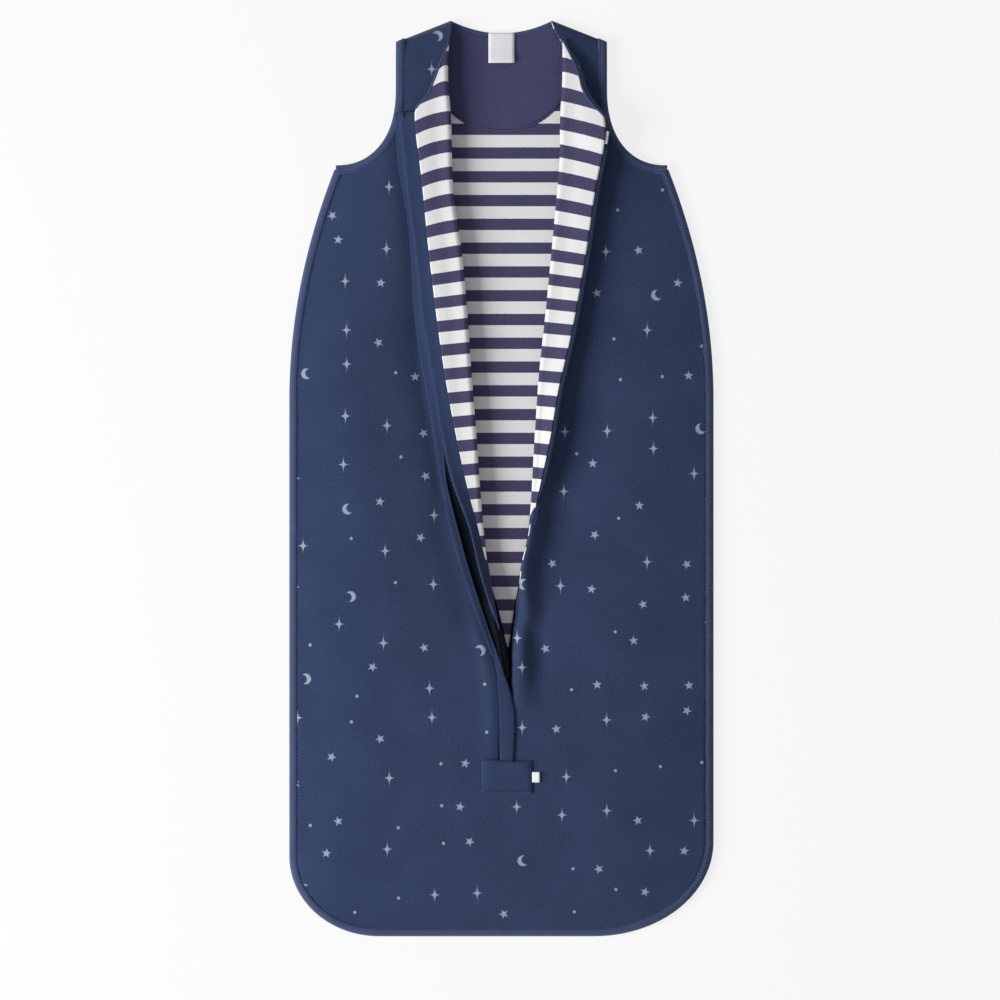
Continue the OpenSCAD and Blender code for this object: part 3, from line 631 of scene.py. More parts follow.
def ripple(x, y, size, seed):
    """Smooth noise between about -1 and 1 over a grid; size is the width of one ripple in mm."""
    flat_x, flat_y = np.broadcast_arrays(np.asarray(x, float), np.asarray(y, float))
    values = [noise.noise((a / size, b / size, seed)) for a, b in zip(flat_x.ravel(), flat_y.ravel())]
    return np.array(values).reshape(flat_x.shape)


def bell(distance, width):
    """A smooth hump of height 1."""
    return np.exp(-(distance / width) ** 2)


def hollow(distance, near, far):
    """A dip of depth 1 that falls off over one width before its middle and another beyond it."""
    return bell(distance, np.where(distance < 0, near, far))


def risen(x, y):
    """How far the front has risen between its seams, from 0 to 1."""
    edge = np.where(x < 0, side_x(-1, y, BIND_W), side_x(1, y, BIND_W))
    edge = np.where(y > ARMPIT[1], ARMPIT[0] - BIND_W, edge)
    over = np.where(x < 0, SIDE_BLEND[-1], SIDE_BLEND[1])
    return (ease((edge - np.abs(x)) / over) * ease((y - HEM - BIND_W) / SIDE_BLEND[-1])
            * ease((shoulder_y(x) - y) / SHOULDER_BLEND))


print("cloth of the front:", round(FRONT_T, 1), "mm thick in all")

# %% Right side of the front
ROLL_GROWS, ROLL_ENDS = (-235, -155), (BUCKLE + 55, BUCKLE - 15)
ROLL_H, ROLL_W = 8.3, 9
TALLER_H, TALLER_AT = 1.5, (-115, -65)
CREST_IN, CREST_SHIFT, SHIFT_AT = 2, 8, (-90, -135)
GROOVE_H, GROOVE_IN, GROOVE_W = 6.0, 19, (12, 42)
TUCK_H, TUCK_W, TUCK_AT = 7.0, 6, (-85, -125)
PRESS_H, PRESS_IN, PRESS_W = 2.0, 17, (17, 45)
PRESS_GROWS, PRESS_ENDS = (-70, -10), (430, 400)
DEEPEST_H, DEEPEST_Y, DEEPEST_SPREAD = 5.0, -5, 90


def right_side(x, y, up):
    """Height added on the right: a roll and a groove at the freed edge, a hollow pressed beside the flap."""
    edge = x - PANEL_EDGE[1](y)
    freed = ramp(y, *ROLL_GROWS) * ramp(y, *ROLL_ENDS) * (edge > -1)
    crest = edge - CREST_IN - CREST_SHIFT * ramp(y, *SHIFT_AT)
    rolled = (ROLL_H + TALLER_H * ramp(y, *TALLER_AT)) * bell(crest, ROLL_W)
    groove = GROOVE_H * hollow(crest - GROOVE_IN, *GROOVE_W)
    tuck = TUCK_H * ramp(y, *TUCK_AT) * np.clip(1 - edge / TUCK_W, 0, 1) ** 2
    deep = PRESS_H + DEEPEST_H * bell(y - DEEPEST_Y, DEEPEST_SPREAD)
    pressed = ramp(y, *PRESS_GROWS) * ramp(y, *PRESS_ENDS) * deep
    beside = x - LINING_EDGE[1](y) - PRESS_IN
    return freed * (rolled - groove - tuck) - pressed * hollow(beside, *PRESS_W) * up


print("the roll on the right:", ROLL_H, "to", round(ROLL_H + TALLER_H, 1), "mm high")

# %% Left side of the front
SLOPE_H, SLOPE_W = 4.5, 80
SLOPE_GROWS, SLOPE_ENDS = (-200, -130), (250, 100)
SLOPE_STOPS = (-60, -40)    # distances from the cover flap's outer edge
DIP_H, DIP_OUT, DIP_W = 2.4, 4, 14
INSIDE_H, INSIDE_W, INSIDE_AT = 3.5, 14, (50, -40)
SEAT_H, SEAT_IN, SEAT_W = 3.2, 3.5, 9
SEAT_GROWS, SEAT_ENDS = (-60, 0), (350, 340)
RIDGE_H, RIDGE_OUT, RIDGE_W = 2.6, 8, 7
RIDGE_GROWS, RIDGE_ENDS = (-290, -230), (-110, -150)


def left_side(x, y):
    """Height added on the left: a slope and dips towards the cover flap, a low ridge beside the strip."""
    away = COVER_OUT(y) - x
    slope = SLOPE_H * ramp(away, SLOPE_W, 0) + DIP_H * bell(away - DIP_OUT, DIP_W)
    slope = slope + INSIDE_H * ramp(away, 0, -INSIDE_W) * ramp(y, *INSIDE_AT)
    slope = slope * ramp(y, *SLOPE_GROWS) * ramp(y, *SLOPE_ENDS) * ramp(away, *SLOPE_STOPS)
    seat = SEAT_H * bell(away + SEAT_IN, SEAT_W) * ramp(y, *SEAT_GROWS) * ramp(y, *SEAT_ENDS)
    edge = PANEL_EDGE[-1](y) - x
    ridge = RIDGE_H * bell(edge - RIDGE_OUT, RIDGE_W) * (edge > -1)
    return ridge * ramp(y, *RIDGE_GROWS) * ramp(y, *RIDGE_ENDS) - slope - seat


print("the slope on the left:", SLOPE_H, "mm over", SLOPE_W, "mm")

# %% Height of the front
RIPPLES = ((1.1, 1.0, 95, 3.1), (0.5, 0.6, 34, 8.7))    # height, squeeze along the bag, width, seed


def front_top(x, y, ripples=True):
    """Height of the outer cloth of the front, in mm."""
    x, y = np.broadcast_arrays(np.asarray(x, float), np.asarray(y, float))
    up = risen(x, y)
    z = PANEL_TOP - LOFT + LOFT * up + right_side(x, y, up) + left_side(x, y)
    if ripples:
        z = z + up * sum(high * ripple(x, y * squeeze, wide, seed) for high, squeeze, wide, seed in RIPPLES)
    return np.maximum(z, PANEL_TOP - LOFT)


print("front stands", round(float(front_top(0.0, -360.0)), 1), "mm high below the zip")

# %% [markdown]
# ## Cutting the panels
# Back and front have the same outline. One function lays a grid of rows from the hem to the shoulders. Both
# panels are laid in two halves, which are welded where they meet: the back's all the way up, the front's
# only below the slit.

# %% Panel grid
HALF_COLS = 46
CORNER_ROWS = 16
SIDE_ROWS = 92
ARM_ROWS = 20
TOP_ROWS = 12
ARM_START = 0.02    # the first row above the armpit, as a share of the armhole's turn
CROWDING = 1.25     # the columns lie closer together towards the opening


def panel_grid(inset, arm_inset, inner_x, top_y):
    """Flat points (rows, columns, 2) of a panel; inner_x and top_y give its slit and its top edge."""
    high = CORNER[1][1]
    turn = np.linspace(0, 1, CORNER_ROWS, endpoint=False)
    low_y = HEM + inset + (high - inset) * (1 - np.cos(turn * math.pi / 2))
    side_y = np.linspace(HEM + high, SIDE_TOP, SIDE_ROWS)
    arm_x, arm_y = arm_point(np.linspace(ARM_START, 1, ARM_ROWS), arm_inset)
    spread = 1 - (1 - np.linspace(0, 1, HALF_COLS)) ** CROWDING
    rows = []
    for y in np.concatenate([low_y, side_y]):
        rows.append((float(side_x(-1, y, inset)), float(side_x(1, y, inset)), y, 0.0))
    rows += [(x, x, y, 0.0) for x, y in zip(arm_x, arm_y)]
    base = SHOULDER[1] - ARM_STRAIGHT
    rows += [(SHOULDER[0] - arm_inset, SHOULDER[0] - arm_inset, base, t)
             for t in np.linspace(0, 1, TOP_ROWS + 1)[1:]]
    grid = np.zeros((len(rows), 2 * HALF_COLS, 2))
    for i, (left, right, y, t) in enumerate(rows):
        in_y = y + (top_y(np.array(0.0)) - y) * t
        xs = np.concatenate([-left + (inner_x(-1, in_y) + left) * spread,
                             (right + (inner_x(1, in_y) - right) * spread)[::-1]])
        grid[i, :, 0] = xs
        grid[i, :, 1] = y + (top_y(xs) - y) * t
    return grid


print("panel grid:", 2 * HALF_COLS, "columns")


# %% Panels laid flat
def front_inner(side, y):
    """The front's inner edge: the opening above, the slit below it, one piece below that."""
    return float(np.where(y < SLIT_FOOT, SLIT_MIDDLE, PANEL_EDGE[side](y)))


NECK_SCOOP = 12


def back_top_y(x):
    """Top edge of the back: shoulder seams and the scooped neck."""
    drop = NECK_SCOOP * (1 - np.clip(np.abs(x) / NECK_TIP[0], 0, 1) ** 2)
    return shoulder_y(x) - drop


UNDER_BINDING = 6.0
FRONT_SEAM, BACK_SEAM = 1, 1.5
front_flat = panel_grid(UNDER_BINDING, UNDER_BINDING, front_inner, lambda x: shoulder_y(x) - FRONT_SEAM)
back_flat = panel_grid(UNDER_BINDING, UNDER_BINDING, lambda side, y: 0.0, lambda x: back_top_y(x) - BACK_SEAM)
panel_keep = np.ones((front_flat.shape[0] - 1, front_flat.shape[1] - 1), bool)
panel_keep[:, HALF_COLS - 1] = False
slit_open = front_flat[:, HALF_COLS, 0] - front_flat[:, HALF_COLS - 1, 0] > 0.1
print("front grid", front_flat.shape, "rows beside the slit:", int(slit_open.sum()))


# %% Front and back pieces
def normals_of(grid):
    """Unit normals of a grid, upwards where columns run to +X and rows to +Y."""
    across = np.gradient(grid, axis=1)
    along = np.gradient(grid, axis=0)
    up = np.cross(across, along)
    return up / np.maximum(np.linalg.norm(up, axis=2, keepdims=True), 1e-9)


STRIPE_ZERO = (0, 204)    # a white stripe of the panels begins at this height
BACK_T = SHELL_T - 0.1
BACK_RIPPLE, BACK_RIPPLE_W = 0.35, 70
front_grid = np.dstack([front_flat, front_top(front_flat[..., 0], front_flat[..., 1])])
front_outer = cloth_piece("front_outer_cloth", front_grid, front_flat, outer_cotton, SHELL_T, panel_keep)
under = front_grid - normals_of(front_grid) * (SHELL_T + LAYER_GAP)
front_lining = cloth_piece("front_lining_cloth", under, front_flat - STRIPE_ZERO, stripes, LINING_T,
                           panel_keep)
back_z = BACK_TOP + BACK_RIPPLE * ripple(back_flat[..., 0], back_flat[..., 1], BACK_RIPPLE_W, 5.2)
back_grid = np.dstack([back_flat, back_z])
back_lining = cloth_piece("back_lining_cloth", back_grid, back_flat - STRIPE_ZERO, stripes, LINING_T,
                          panel_keep)
shell_grid = np.dstack([back_flat, np.full(back_z.shape, BACK_T)])
back_outer = cloth_piece("back_outer_cloth", shell_grid, back_flat, outer_cotton, BACK_T, panel_keep)

# %% [markdown]
# ## The folded edges
# Each front edge rolls over and lies back on the front, lining side up. Seen across, the cloth runs under the
# front, round a roll of 4.6 mm radius and out along the flap. The outer cloth is the same surface again, one
# lining's thickness further in. Both are shaped round the fold, from under the front out to the flap. The
# stripes were level before the edge was folded, so on the flap they slope, and near the neck the jersey is
# stretched a little.

# %% Folded edge surfaces
FOLD_R = AXIS_Z - PANEL_TOP + FRONT_T
NARROWEST = 1.2
TIGHT_R, TIGHT_SHARE = 0.8, 0.42    # a narrow flap rolls over more tightly
NECK_FROM, NECK_IN = 380, 4
FOOT_DROP, FOOT_STEPS = 4.0, ((-112, -148), (-150, -190))
LIFT = {-1: -2.5, 1: 11.0}          # degrees by which the flap rises away from the fold
SWELL_H, SWELL_W, SWELL_OUT = 0.7, 60, 20
SAG_H, SAG_OUT, SAG_W, SAG_WIDE = 0.9, 9, 7, 30
SLIDER_Y = sum(c.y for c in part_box("zip_slider")) / 2 / MM
SLIDER_LIFT, SLIDER_SPREAD, LIFT_W = 5.0, 15, 34
STIFF_H, STIFF_WIDE, STIFF_AT = 5.6, (2.5, 14.5), (190, 50)


def fold_width(side, y):
    """Distance from the fold to the lining's edge."""
    return np.maximum(side * (LINING_EDGE[side](y) - FOLD[side](y)), NARROWEST)


def fold_radius(wide):
    """Radius of the roll for a flap of some width."""
    return np.minimum(FOLD_R, TIGHT_R + TIGHT_SHARE * wide)


def fold_shift(side, y):
    """How far the fold lies off its axis height: at the neck tips and at the left flap's lower end."""
    neck = front_top(FOLD[side](y) + side * NECK_IN, y, ripples=False) - PANEL_TOP
    foot = -sum(FOOT_DROP * ramp(y, *span) for span in FOOT_STEPS) if side < 0 else 0.0
    return np.where(y > NECK_FROM, neck, foot)


def lapel_z(side, y, d):
    """Height of the flap's lining at a distance d out from the fold."""
    wide = fold_width(side, y)
    radius = fold_radius(wide)
    out = np.clip(d - radius, 0, None)
    rise = out * math.tan(math.radians(LIFT[side]))
    swell = SWELL_H * ripple(np.full_like(y, 40.0 * side), y, SWELL_W, 2.4) * np.clip(out / SWELL_OUT, 0, 1)
    sag = SAG_H * bell(out - SAG_OUT, SAG_W) * np.clip(wide / SAG_WIDE, 0, 1)
    raised = 0.0
    if side > 0:
        # The slider lifts the edge near the neck; lower down the stiff tape holds the narrow flap up
        stiff = STIFF_H * ramp(wide, *STIFF_WIDE) * ramp(y, *STIFF_AT)
        raised = SLIDER_LIFT * bell(y - SLIDER_Y, SLIDER_SPREAD) * ramp(out, 0, LIFT_W)
        raised = raised + stiff * step(out / np.maximum(wide - radius, 1.0))
    return AXIS_Z + fold_shift(side, y) + radius + rise + swell - sag + raised


print("roll of the folded edge:", round(FOLD_R, 1), "mm radius")

# %% Grid round the roll
LAPEL_STEP = 5.0
LOWER_COLS, ROLL_COLS, FLAP_COLS = 6, 13, 16
LOWER_REACH, LOWER_SHARE, LOWER_OVERLAP = 14.0, 0.8, 4
FLAP_LEAST = 0.4                # the flap lies at least this far out beyond the roll
LEAVE_W, LEAVE_MORE = 2, 6      # over this distance the lining leaves the roll; a wide flap needs more
LEAVE_WIDE, LEAVE_SPAN = 4, 10
CLEAR = 0.2                     # clearance between cloths that lie on each other


def lapel_grid(side):
    """Points of the lining's outer surface: under the front, round the roll and out along the flap."""
    y = np.arange(FOLD_FOOT[side], FOLD_TOP[side] + 0.1, LAPEL_STEP)[:, None]
    wide = fold_width(side, y)
    radius = fold_radius(wide)
    middle = AXIS_Z + fold_shift(side, y)
    turn = np.radians(np.linspace(-90, 90, ROLL_COLS))
    overlap = side * (PANEL_EDGE[side](y) - FOLD[side](y)) + LOWER_OVERLAP
    reach = np.maximum(np.minimum(LOWER_REACH, radius + LOWER_SHARE * wide), overlap)
    lower_d = radius + (reach - radius) * np.linspace(1, 0, LOWER_COLS + 1)[:-1]
    flap_w = np.maximum(wide, radius + FLAP_LEAST) - radius
    flap_d = radius + flap_w * np.linspace(0, 1, FLAP_COLS + 1)[1:]
    d = np.hstack([lower_d, radius - radius * np.cos(turn), flap_d])
    # Under the front the lining leaves the roll and follows the front's lower side
    low = middle - radius
    front_low = front_top(FOLD[side](y) + side * lower_d, y) - FRONT_T - CLEAR
    leave_w = LEAVE_W + LEAVE_MORE * np.clip((wide - LEAVE_WIDE) / LEAVE_SPAN, 0, 1)
    leave = step((lower_d - radius) / leave_w)
    lower_z = low + np.where(y > NECK_FROM, 0, leave) * (front_low - low)
    flap_z = lapel_z(side, np.broadcast_to(y, flap_d.shape), flap_d)
    full_y = np.broadcast_to(y, d.shape)
    return np.dstack([FOLD[side](full_y) + side * d, full_y,
                      np.hstack([lower_z, middle + radius * np.sin(turn), flap_z])])


def arc_across(grid):
    """Distance along the cloth from the first column of each row."""
    return np.cumsum(np.linalg.norm(np.diff(grid, axis=1, prepend=grid[:, :1]), axis=2), axis=1)


print("columns round a fold:", LOWER_COLS + ROLL_COLS + FLAP_COLS)

# %% Stripes on the flaps
STRIPE_START = {-1: 200.3, 1: 196.5}
STRIPE_BOW = {-1: 2.4, 1: 0.8}
BOW_AT = (180, 330)
SLOPE_LOW, SLOPE_MORE, SLOPE_AT = 0.09, 0.17, (100, 350)
STRETCH_LOW, STRETCH_MORE = 1.013, 0.184
STRETCH_Y, STRETCH_SPAN, STRETCH_MOST = 200, 151, 1.4
CROWN = LOWER_COLS + ROLL_COLS // 2


def striped_flat(side, y, arc):
    """Cloth coordinates: stripes slope and bow beyond the roll's crown, and the stretch opens them."""
    past = np.clip(arc - arc[:, [CROWN]], 0, None)
    share = past / past[:, -1:]
    slope = SLOPE_LOW + SLOPE_MORE * ramp(y, *SLOPE_AT)
    bow = STRIPE_BOW[side] * ramp(y, *BOW_AT) * 4 * share * (1 - share)
    heights = np.linspace(-320, 560, 881)
    stretch = STRETCH_LOW + STRETCH_MORE * np.clip((heights - STRETCH_Y) / STRETCH_SPAN, 0, STRETCH_MOST)
    laid = np.cumsum(1 / stretch)
    laid = laid - np.interp(STRIPE_START[side], heights, laid)
    return np.dstack([side * arc, np.interp(y + slope * past - bow, heights, laid)])


print("stripes open by", round(100 * (STRETCH_LOW + STRETCH_MORE - 1)), "% near the neck")

# %% Folded edge pieces
EDGE_SHOWS = {-1: 0.0, 1: 3.4}    # how far the outer cloth comes out beyond the lining
EDGE_CURL = 1.6
SHOWS_WIDE = (2, 10)              # widths of the flap between which the outer cloth comes out
SLIDER_GAP = 14
lapels = {}
for side, word in ((-1, "left"), (1, "right")):
    grid = lapel_grid(side)
    ys = grid[..., 1]
    # On the right the columns are turned round: the normals then point into the fold on both sides
    flat = striped_flat(side, ys, arc_across(grid))[:, ::-side]
    grid = grid[:, ::-side]
    lining = cloth_piece(word + "_flap_lining_cloth", grid[:, ::-1], flat[:, ::-1], stripes, LINING_T)
    inner = grid + normals_of(grid) * (LINING_T + LAYER_GAP)
    hidden, free = (0, -1) if side < 0 else (-1, 0)
    shows = ramp(fold_width(side, ys[:, 0]), *SHOWS_WIDE) * (1 - bell(ys[:, 0] - SLIDER_Y, SLIDER_GAP))
    inner[:, free, 0] += side * EDGE_SHOWS[side] * shows
    inner[:, free, 2] += EDGE_CURL * shows * (side > 0)
    print_flat = np.dstack([grid[:, [hidden], 0] - side * np.abs(flat[..., 0]), ys])
    shell = cloth_piece(word + "_flap_outer_cloth", inner[:, ::-1], print_flat[:, ::-1], outer_cotton,
                        SHELL_T)
    for piece in (lining, shell):
        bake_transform(piece)
    lapels[side] = (lining, shell, flat, print_flat)
    print(word, "flap: widest", round(float(fold_width(side, ys).max())), "mm")

# %% [markdown]
# ## Strips along the zip
# On the left a plain guard strip comes out from under the lining and hides the teeth; at mid height it
# stands up and shows the tape behind it, whose near-black colour is painted shade, and low down it runs to a
# point. Outside it lies the cover flap, a doubled ribbon that closes over the zip and, below the opening, runs
# on as a short strip to the patch. Each strip is a grid between two lines, with a function that gives its
# height.


# %% Strip helpers
def strip_grid(ys, from_x, to_x, height, cols):
    """Rows of points between two lines, left to right; height(x, y, share) gives their z."""
    share = np.broadcast_to(np.linspace(0, 1, cols), (len(ys), cols))
    y = np.broadcast_to(ys[:, None], share.shape)
    x = from_x(y) + (to_x(y) - from_x(y)) * share
    return np.dstack([x, y, height(x, y, share)])


def unrolled(grid):
    """A strip's own width and length as cloth coordinates."""
    across = arc_across(grid)
    middle = grid[:, grid.shape[1] // 2]
    along = np.cumsum(np.linalg.norm(np.diff(middle, axis=0, prepend=middle[:1]), axis=1))
    return np.dstack([across, np.broadcast_to(along[:, None], across.shape)])


STRIP_STEP = 5.0
STRIP_T = 1.6


def strip(name, grid, material, thickness, node, body):
    """A strip of cloth, laid in place of the CAD nodes that it shows."""
    flat = unrolled(grid)
    piece = cloth_piece(name, grid, flat, material, thickness)
    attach(piece, body)
    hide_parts(*node)


# %% Guard strip on the left
def left_edge_z(y):
    """Height of the left flap's lining at its edge."""
    return lapel_z(-1, y, fold_width(-1, y))


COVERED = (45, 95)    # above these heights the cover flap lies over the guard
GUARD_LOW = 0.4
GUARD_H, GUARD_GROWS, GUARD_ENDS = 7.5, (60, -50), (-165, -115)
CREASE_H, CREASE_AT, CREASE_W = 0.5, 0.45, 0.16
FOOT_H, FOOT_AT = 2.4, (-78, -96)
PINCH_H = 1.7
POINT_SHARE, POINT_AT = 0.92, (-112, -145)
UNDER_LINING, OVER_FOLD = 3, 0.6


def guard_z(x, y, share):
    """The guard stands up at mid height, lies over the flap's foot and is pinched under the cover flap."""
    rise = GUARD_LOW + GUARD_H * ramp(y, *GUARD_GROWS) * ramp(y, *GUARD_ENDS)
    crease = CREASE_H * bell(share - CREASE_AT, CREASE_W)
    pinched = PINCH_H * (1 - share) * ramp(y, *COVERED)
    return (left_edge_z(y) - LINING_T - CLEAR + rise * (1 - share) - crease
            + FOOT_H * ramp(y, *FOOT_AT) - pinched)


def guard_in(y):
    """Where the guard ends: under the lining above, over the fold at the flap's foot."""
    return np.minimum(LINING_EDGE[-1](y) + UNDER_LINING, FOLD[-1](y) + OVER_FOLD)


def guard_out(y):
    """The guard's free edge; low down it runs in to a point."""
    return GUARD_EDGE(y) + POINT_SHARE * (guard_in(y) - GUARD_EDGE(y)) * ramp(y, *POINT_AT)


STRIP_TOP = 352
left_ys = np.arange(V_FOOT, STRIP_TOP, STRIP_STEP)
strip("zip_guard_cloth", strip_grid(left_ys[left_ys > POINT_AT[1]], guard_out, guard_in, guard_z, 7),
      trim_cotton, STRIP_T, ["zip_guard"], "left_flap")

# %% Cover flap
COVER_GAP = 0.3
PUFF_H = 0.5
LIP_H, LIP_W, LIP_GROWS, LIP_ENDS = 1.1, 0.12, (60, 0), (-200, -170)
RIDE_H, RIDE_SHARE = 1.9, (0.1, 0.9)


def cover_z(x, y, share):
    """The cover flap lies on the front with a puffed middle, and higher up it rides on the guard."""
    puff = PUFF_H * (1 - (2 * share - 1) ** 2)
    lip = LIP_H * bell(share - 1, LIP_W) * ramp(y, *LIP_GROWS) * ramp(y, *LIP_ENDS)
    rides = RIDE_H * ramp(share, *RIDE_SHARE) * ramp(y, *COVERED)
    return front_top(x, y) + STRIP_T + COVER_GAP + puff + lip + rides


cover_ys = np.arange(SLIT_FOOT, STRIP_TOP, STRIP_STEP)
cover_grid = strip_grid(cover_ys, COVER_OUT, COVER_IN, cover_z, 9)
cover_flat = unrolled(cover_grid)
cover = cloth_piece("zip_cover_cloth", cover_grid, cover_flat, trim_cotton, STRIP_T)
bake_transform(cover)
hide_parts("zip_cover_flap", "zip_cover_strip")

# %% Tape on the left
TAPE_T = 0.6
TAPE_FOOT = -190
TAPE_GAP, TAPE_TILT = 0.4, 1.0
UNDER_COVER, UNDER_GUARD = 3, 6
TURN_H = 1.0
TURN_AT, TURN_SHARE = (-106, -142), (0.3, 0.6)


def tape_z(x, y, share):
    """The tape lies on the front; beside the guard's point it turns up over the flap's foot."""
    flat = front_top(x, y) + TAPE_GAP + TAPE_TILT * share
    over = np.maximum(left_edge_z(y) + TURN_H - flat, 0)
    return flat + over * ramp(y, *TURN_AT) * ramp(share, *TURN_SHARE)


tape_ys = left_ys[left_ys > TAPE_FOOT]
# The tape's near-black colour is painted shade of the gap between the guard and the cover flap
strip("left_zip_tape_weave",
      strip_grid(tape_ys, lambda y: COVER_IN(y) - UNDER_COVER, lambda y: GUARD_EDGE(y) + UNDER_GUARD,
                 tape_z, 5),
      zip_tape, TAPE_T, ["left_zip_tape"], "left_flap")

# %% [markdown]
# ## Tape on the right
# On the right only the edge of the tape and the teeth show beyond the lining. Lower down, where the edge is
# no longer folded, the front's edge has rolled up: the tape lies inside the roll, its near-black colour
# painted shade of the roll's inside, and a thin rim of striped lining peeps out above it.


# %% Right tape
def right_edge_z(y):
    """Height of the right flap's edge, where the tape lies straight below the slider."""
    return lapel_z(1, y, fold_width(1, y)) - SLIDER_LIFT * bell(y - SLIDER_Y, SLIDER_SPREAD)


TAPE_SHOWS = 2.6
TAPE_IN, TAPE_IN_SHARE, TAPE_IN_LEAST = 8, 0.35, 1
TAPE_HANG = 2.5
RIGHT_TAPE = (BUCKLE + 8, 345)


def right_tape_in(y):
    """The tape's hidden edge, under the flap."""
    return LINING_EDGE[1](y) - np.minimum(TAPE_IN, TAPE_IN_SHARE * fold_width(1, y)) - TAPE_IN_LEAST


def right_tape_z(x, y, share):
    """The tape hangs just below both cloths of the flap."""
    return right_edge_z(y) - LINING_T - SHELL_T - TAPE_GAP - TAPE_HANG * (1 - share)


right_ys = np.arange(*RIGHT_TAPE, STRIP_STEP)
strip("right_zip_tape_weave",
      strip_grid(right_ys, right_tape_in, lambda y: LINING_EDGE[1](y) + TAPE_SHOWS, right_tape_z, 5),
      zip_tape, TAPE_T, ["right_zip_tape"], "right_flap")

# %% Rolled edge below the right flap
INSIDE_ROLL, INSIDE_TILT = 8.5, 2.5    # how far below the front's top the tape starts, and its slope
PAST_EDGE, PAST_MORE, PAST_AT = 1.0, 2.5, (-138, -178)    # it comes out a little beyond the front's edge
INSIDE_TAPE_W = 11
RIM_SHOWS, RIM_AT = 0.9, (-120, -80)
RIM_W, RIM_GAP, RIM_FOOT = 9, 0.6, -118
low_ys = np.arange(V_FOOT, BUCKLE + 6, STRIP_STEP)
# This tape's near-black colour is painted shade inside the rolled edge
strip("right_lower_edge_tape",
      strip_grid(low_ys, lambda y: PANEL_EDGE[1](y) - PAST_EDGE - PAST_MORE * ramp(y, *PAST_AT),
                 lambda y: PANEL_EDGE[1](y) + INSIDE_TAPE_W,
                 lambda x, y, share: PANEL_TOP - INSIDE_ROLL + INSIDE_TILT * share, 5),
      zip_tape, TAPE_T, [], "body")


def rim_z(x, y, share):
    """The rim lies just under the front's outer cloth."""
    return front_top(np.maximum(x, PANEL_EDGE[1](y)), y) - SHELL_T - RIM_GAP


edge_ys = np.arange(RIM_FOOT, BUCKLE + 1, STRIP_STEP)
edge_grid = strip_grid(edge_ys, lambda y: PANEL_EDGE[1](y) - RIM_SHOWS * ramp(y, *RIM_AT),
                       lambda y: PANEL_EDGE[1](y) + RIM_W, rim_z, 9)
edge_flat = np.dstack([edge_grid[..., 0], edge_grid[..., 1] - STRIPE_START[1]])
edge_lining = cloth_piece("right_lower_lining_edge", edge_grid, edge_flat, stripes, LINING_T)
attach(edge_lining, "body")

# %% [markdown]
# ## Lower end of the zip
# Below the opening the zip is still closed, under the strip. A small patch of plain cotton is sewn over its
# end on three sides. Its upper side is open, so it gapes a little in soft waves.


# %% Lower tape and patch
def upright(x):
    """A straight line up the bag."""
    return lambda y: np.full_like(y, x)


LOWER_ZIP_Z = 13.9
LOWER_TAPE = (-6.0, 20.0)
slit_ys = np.arange(SLIT_FOOT, V_FOOT + 0.1, STRIP_STEP)
strip("lower_zip_tape_weave",
      strip_grid(slit_ys, upright(LOWER_TAPE[0]), upright(LOWER_TAPE[1]),
                 lambda x, y, share: np.full_like(x, LOWER_ZIP_Z), 5),
      zip_tape, TAPE_T, ["lower_left_zip_tape", "lower_right_zip_tape"], "body")
patch_low, patch_high = (np.array(c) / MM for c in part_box("zip_garage"))
PATCH_LOW, PATCH_H, PATCH_SEAM = 0.9, 2.0, 6
MOUTH = 12                 # how far down the gaping reaches
GAPE_H, GAPE_WAVE_H = 1.6, 0.7
MOUTH_WAVE_H, MOUTH_WAVE = 0.9, 98 / 2.2


def patch_z(x, y, share):
    """The patch lies on the front, held down at its seams and lifted at its mouth."""
    mouth = ramp(y, patch_high[1] - MOUTH, patch_high[1])
    seam = np.minimum(np.minimum(x - patch_low[0], patch_high[0] - x), y - patch_low[1])
    lifted = GAPE_H * np.sin(share * math.pi) + GAPE_WAVE_H * np.sin(share * 3 * math.pi + 0.6)
    return front_top(x, y) + PATCH_LOW + PATCH_H * ease(seam / PATCH_SEAM) + mouth * lifted


patch_ys = np.linspace(patch_low[1], patch_high[1], 13)
patch_grid = strip_grid(patch_ys, upright(patch_low[0]), upright(patch_high[0]), patch_z, 25)
top_share = (patch_grid[..., 1] - patch_low[1]) / (patch_high[1] - patch_low[1])
wave = np.sin((patch_grid[..., 0] - patch_low[0]) / MOUTH_WAVE * 2 * math.pi)
patch_grid[..., 1] += top_share ** 2 * MOUTH_WAVE_H * wave
strip("zip_garage_cloth", patch_grid, trim_cotton, STRIP_T, ["zip_garage"], "body")

# %% [markdown]
# ## Facing and labels
# Inside the back neck a half-moon of plain jersey backs the seam, and a label of satin ribbon hangs from the
# middle of it, its free end curling up. A smaller piece of ribbon, folded into a loop, is caught in the side
# seam of the patch.

# %% Facing
FACING_Y = 399
FACING = (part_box("neck_facing")[1].x / MM, FACING_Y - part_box("neck_facing")[0].y / MM)
FACING_T = 1.0
FACING_UP, FACING_IN = 1.1, 3
FACING_SEAM, SEAM_H, SEAM_W = 3.0, 0.5, 1.2
FACING_RIPPLE, FACING_RIPPLE_W = 0.35, 40
turn = np.linspace(-1, 1, 45)
facing_x = FACING[0] * np.sin(turn * math.pi / 2)
facing_low = FACING_Y - FACING[1] * np.sqrt(1 - (facing_x / FACING[0]) ** 2)
facing_top = back_top_y(facing_x) - FACING_IN
facing_y = facing_low + (facing_top - facing_low) * np.linspace(0, 1, 25)[:, None]
wide_x = np.broadcast_to(facing_x, facing_y.shape)
facing_z = BACK_TOP + FACING_UP + FACING_RIPPLE * ripple(wide_x, facing_y, FACING_RIPPLE_W, 7.7)
facing_z = facing_z - SEAM_H * bell(facing_y - facing_low - FACING_SEAM, SEAM_W)
facing_grid = np.dstack([wide_x, facing_y, facing_z])
facing = cloth_piece("neck_facing_cloth", facing_grid, facing_grid[..., :2], facing_cotton, FACING_T)
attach(facing, "body")
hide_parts("neck_facing")

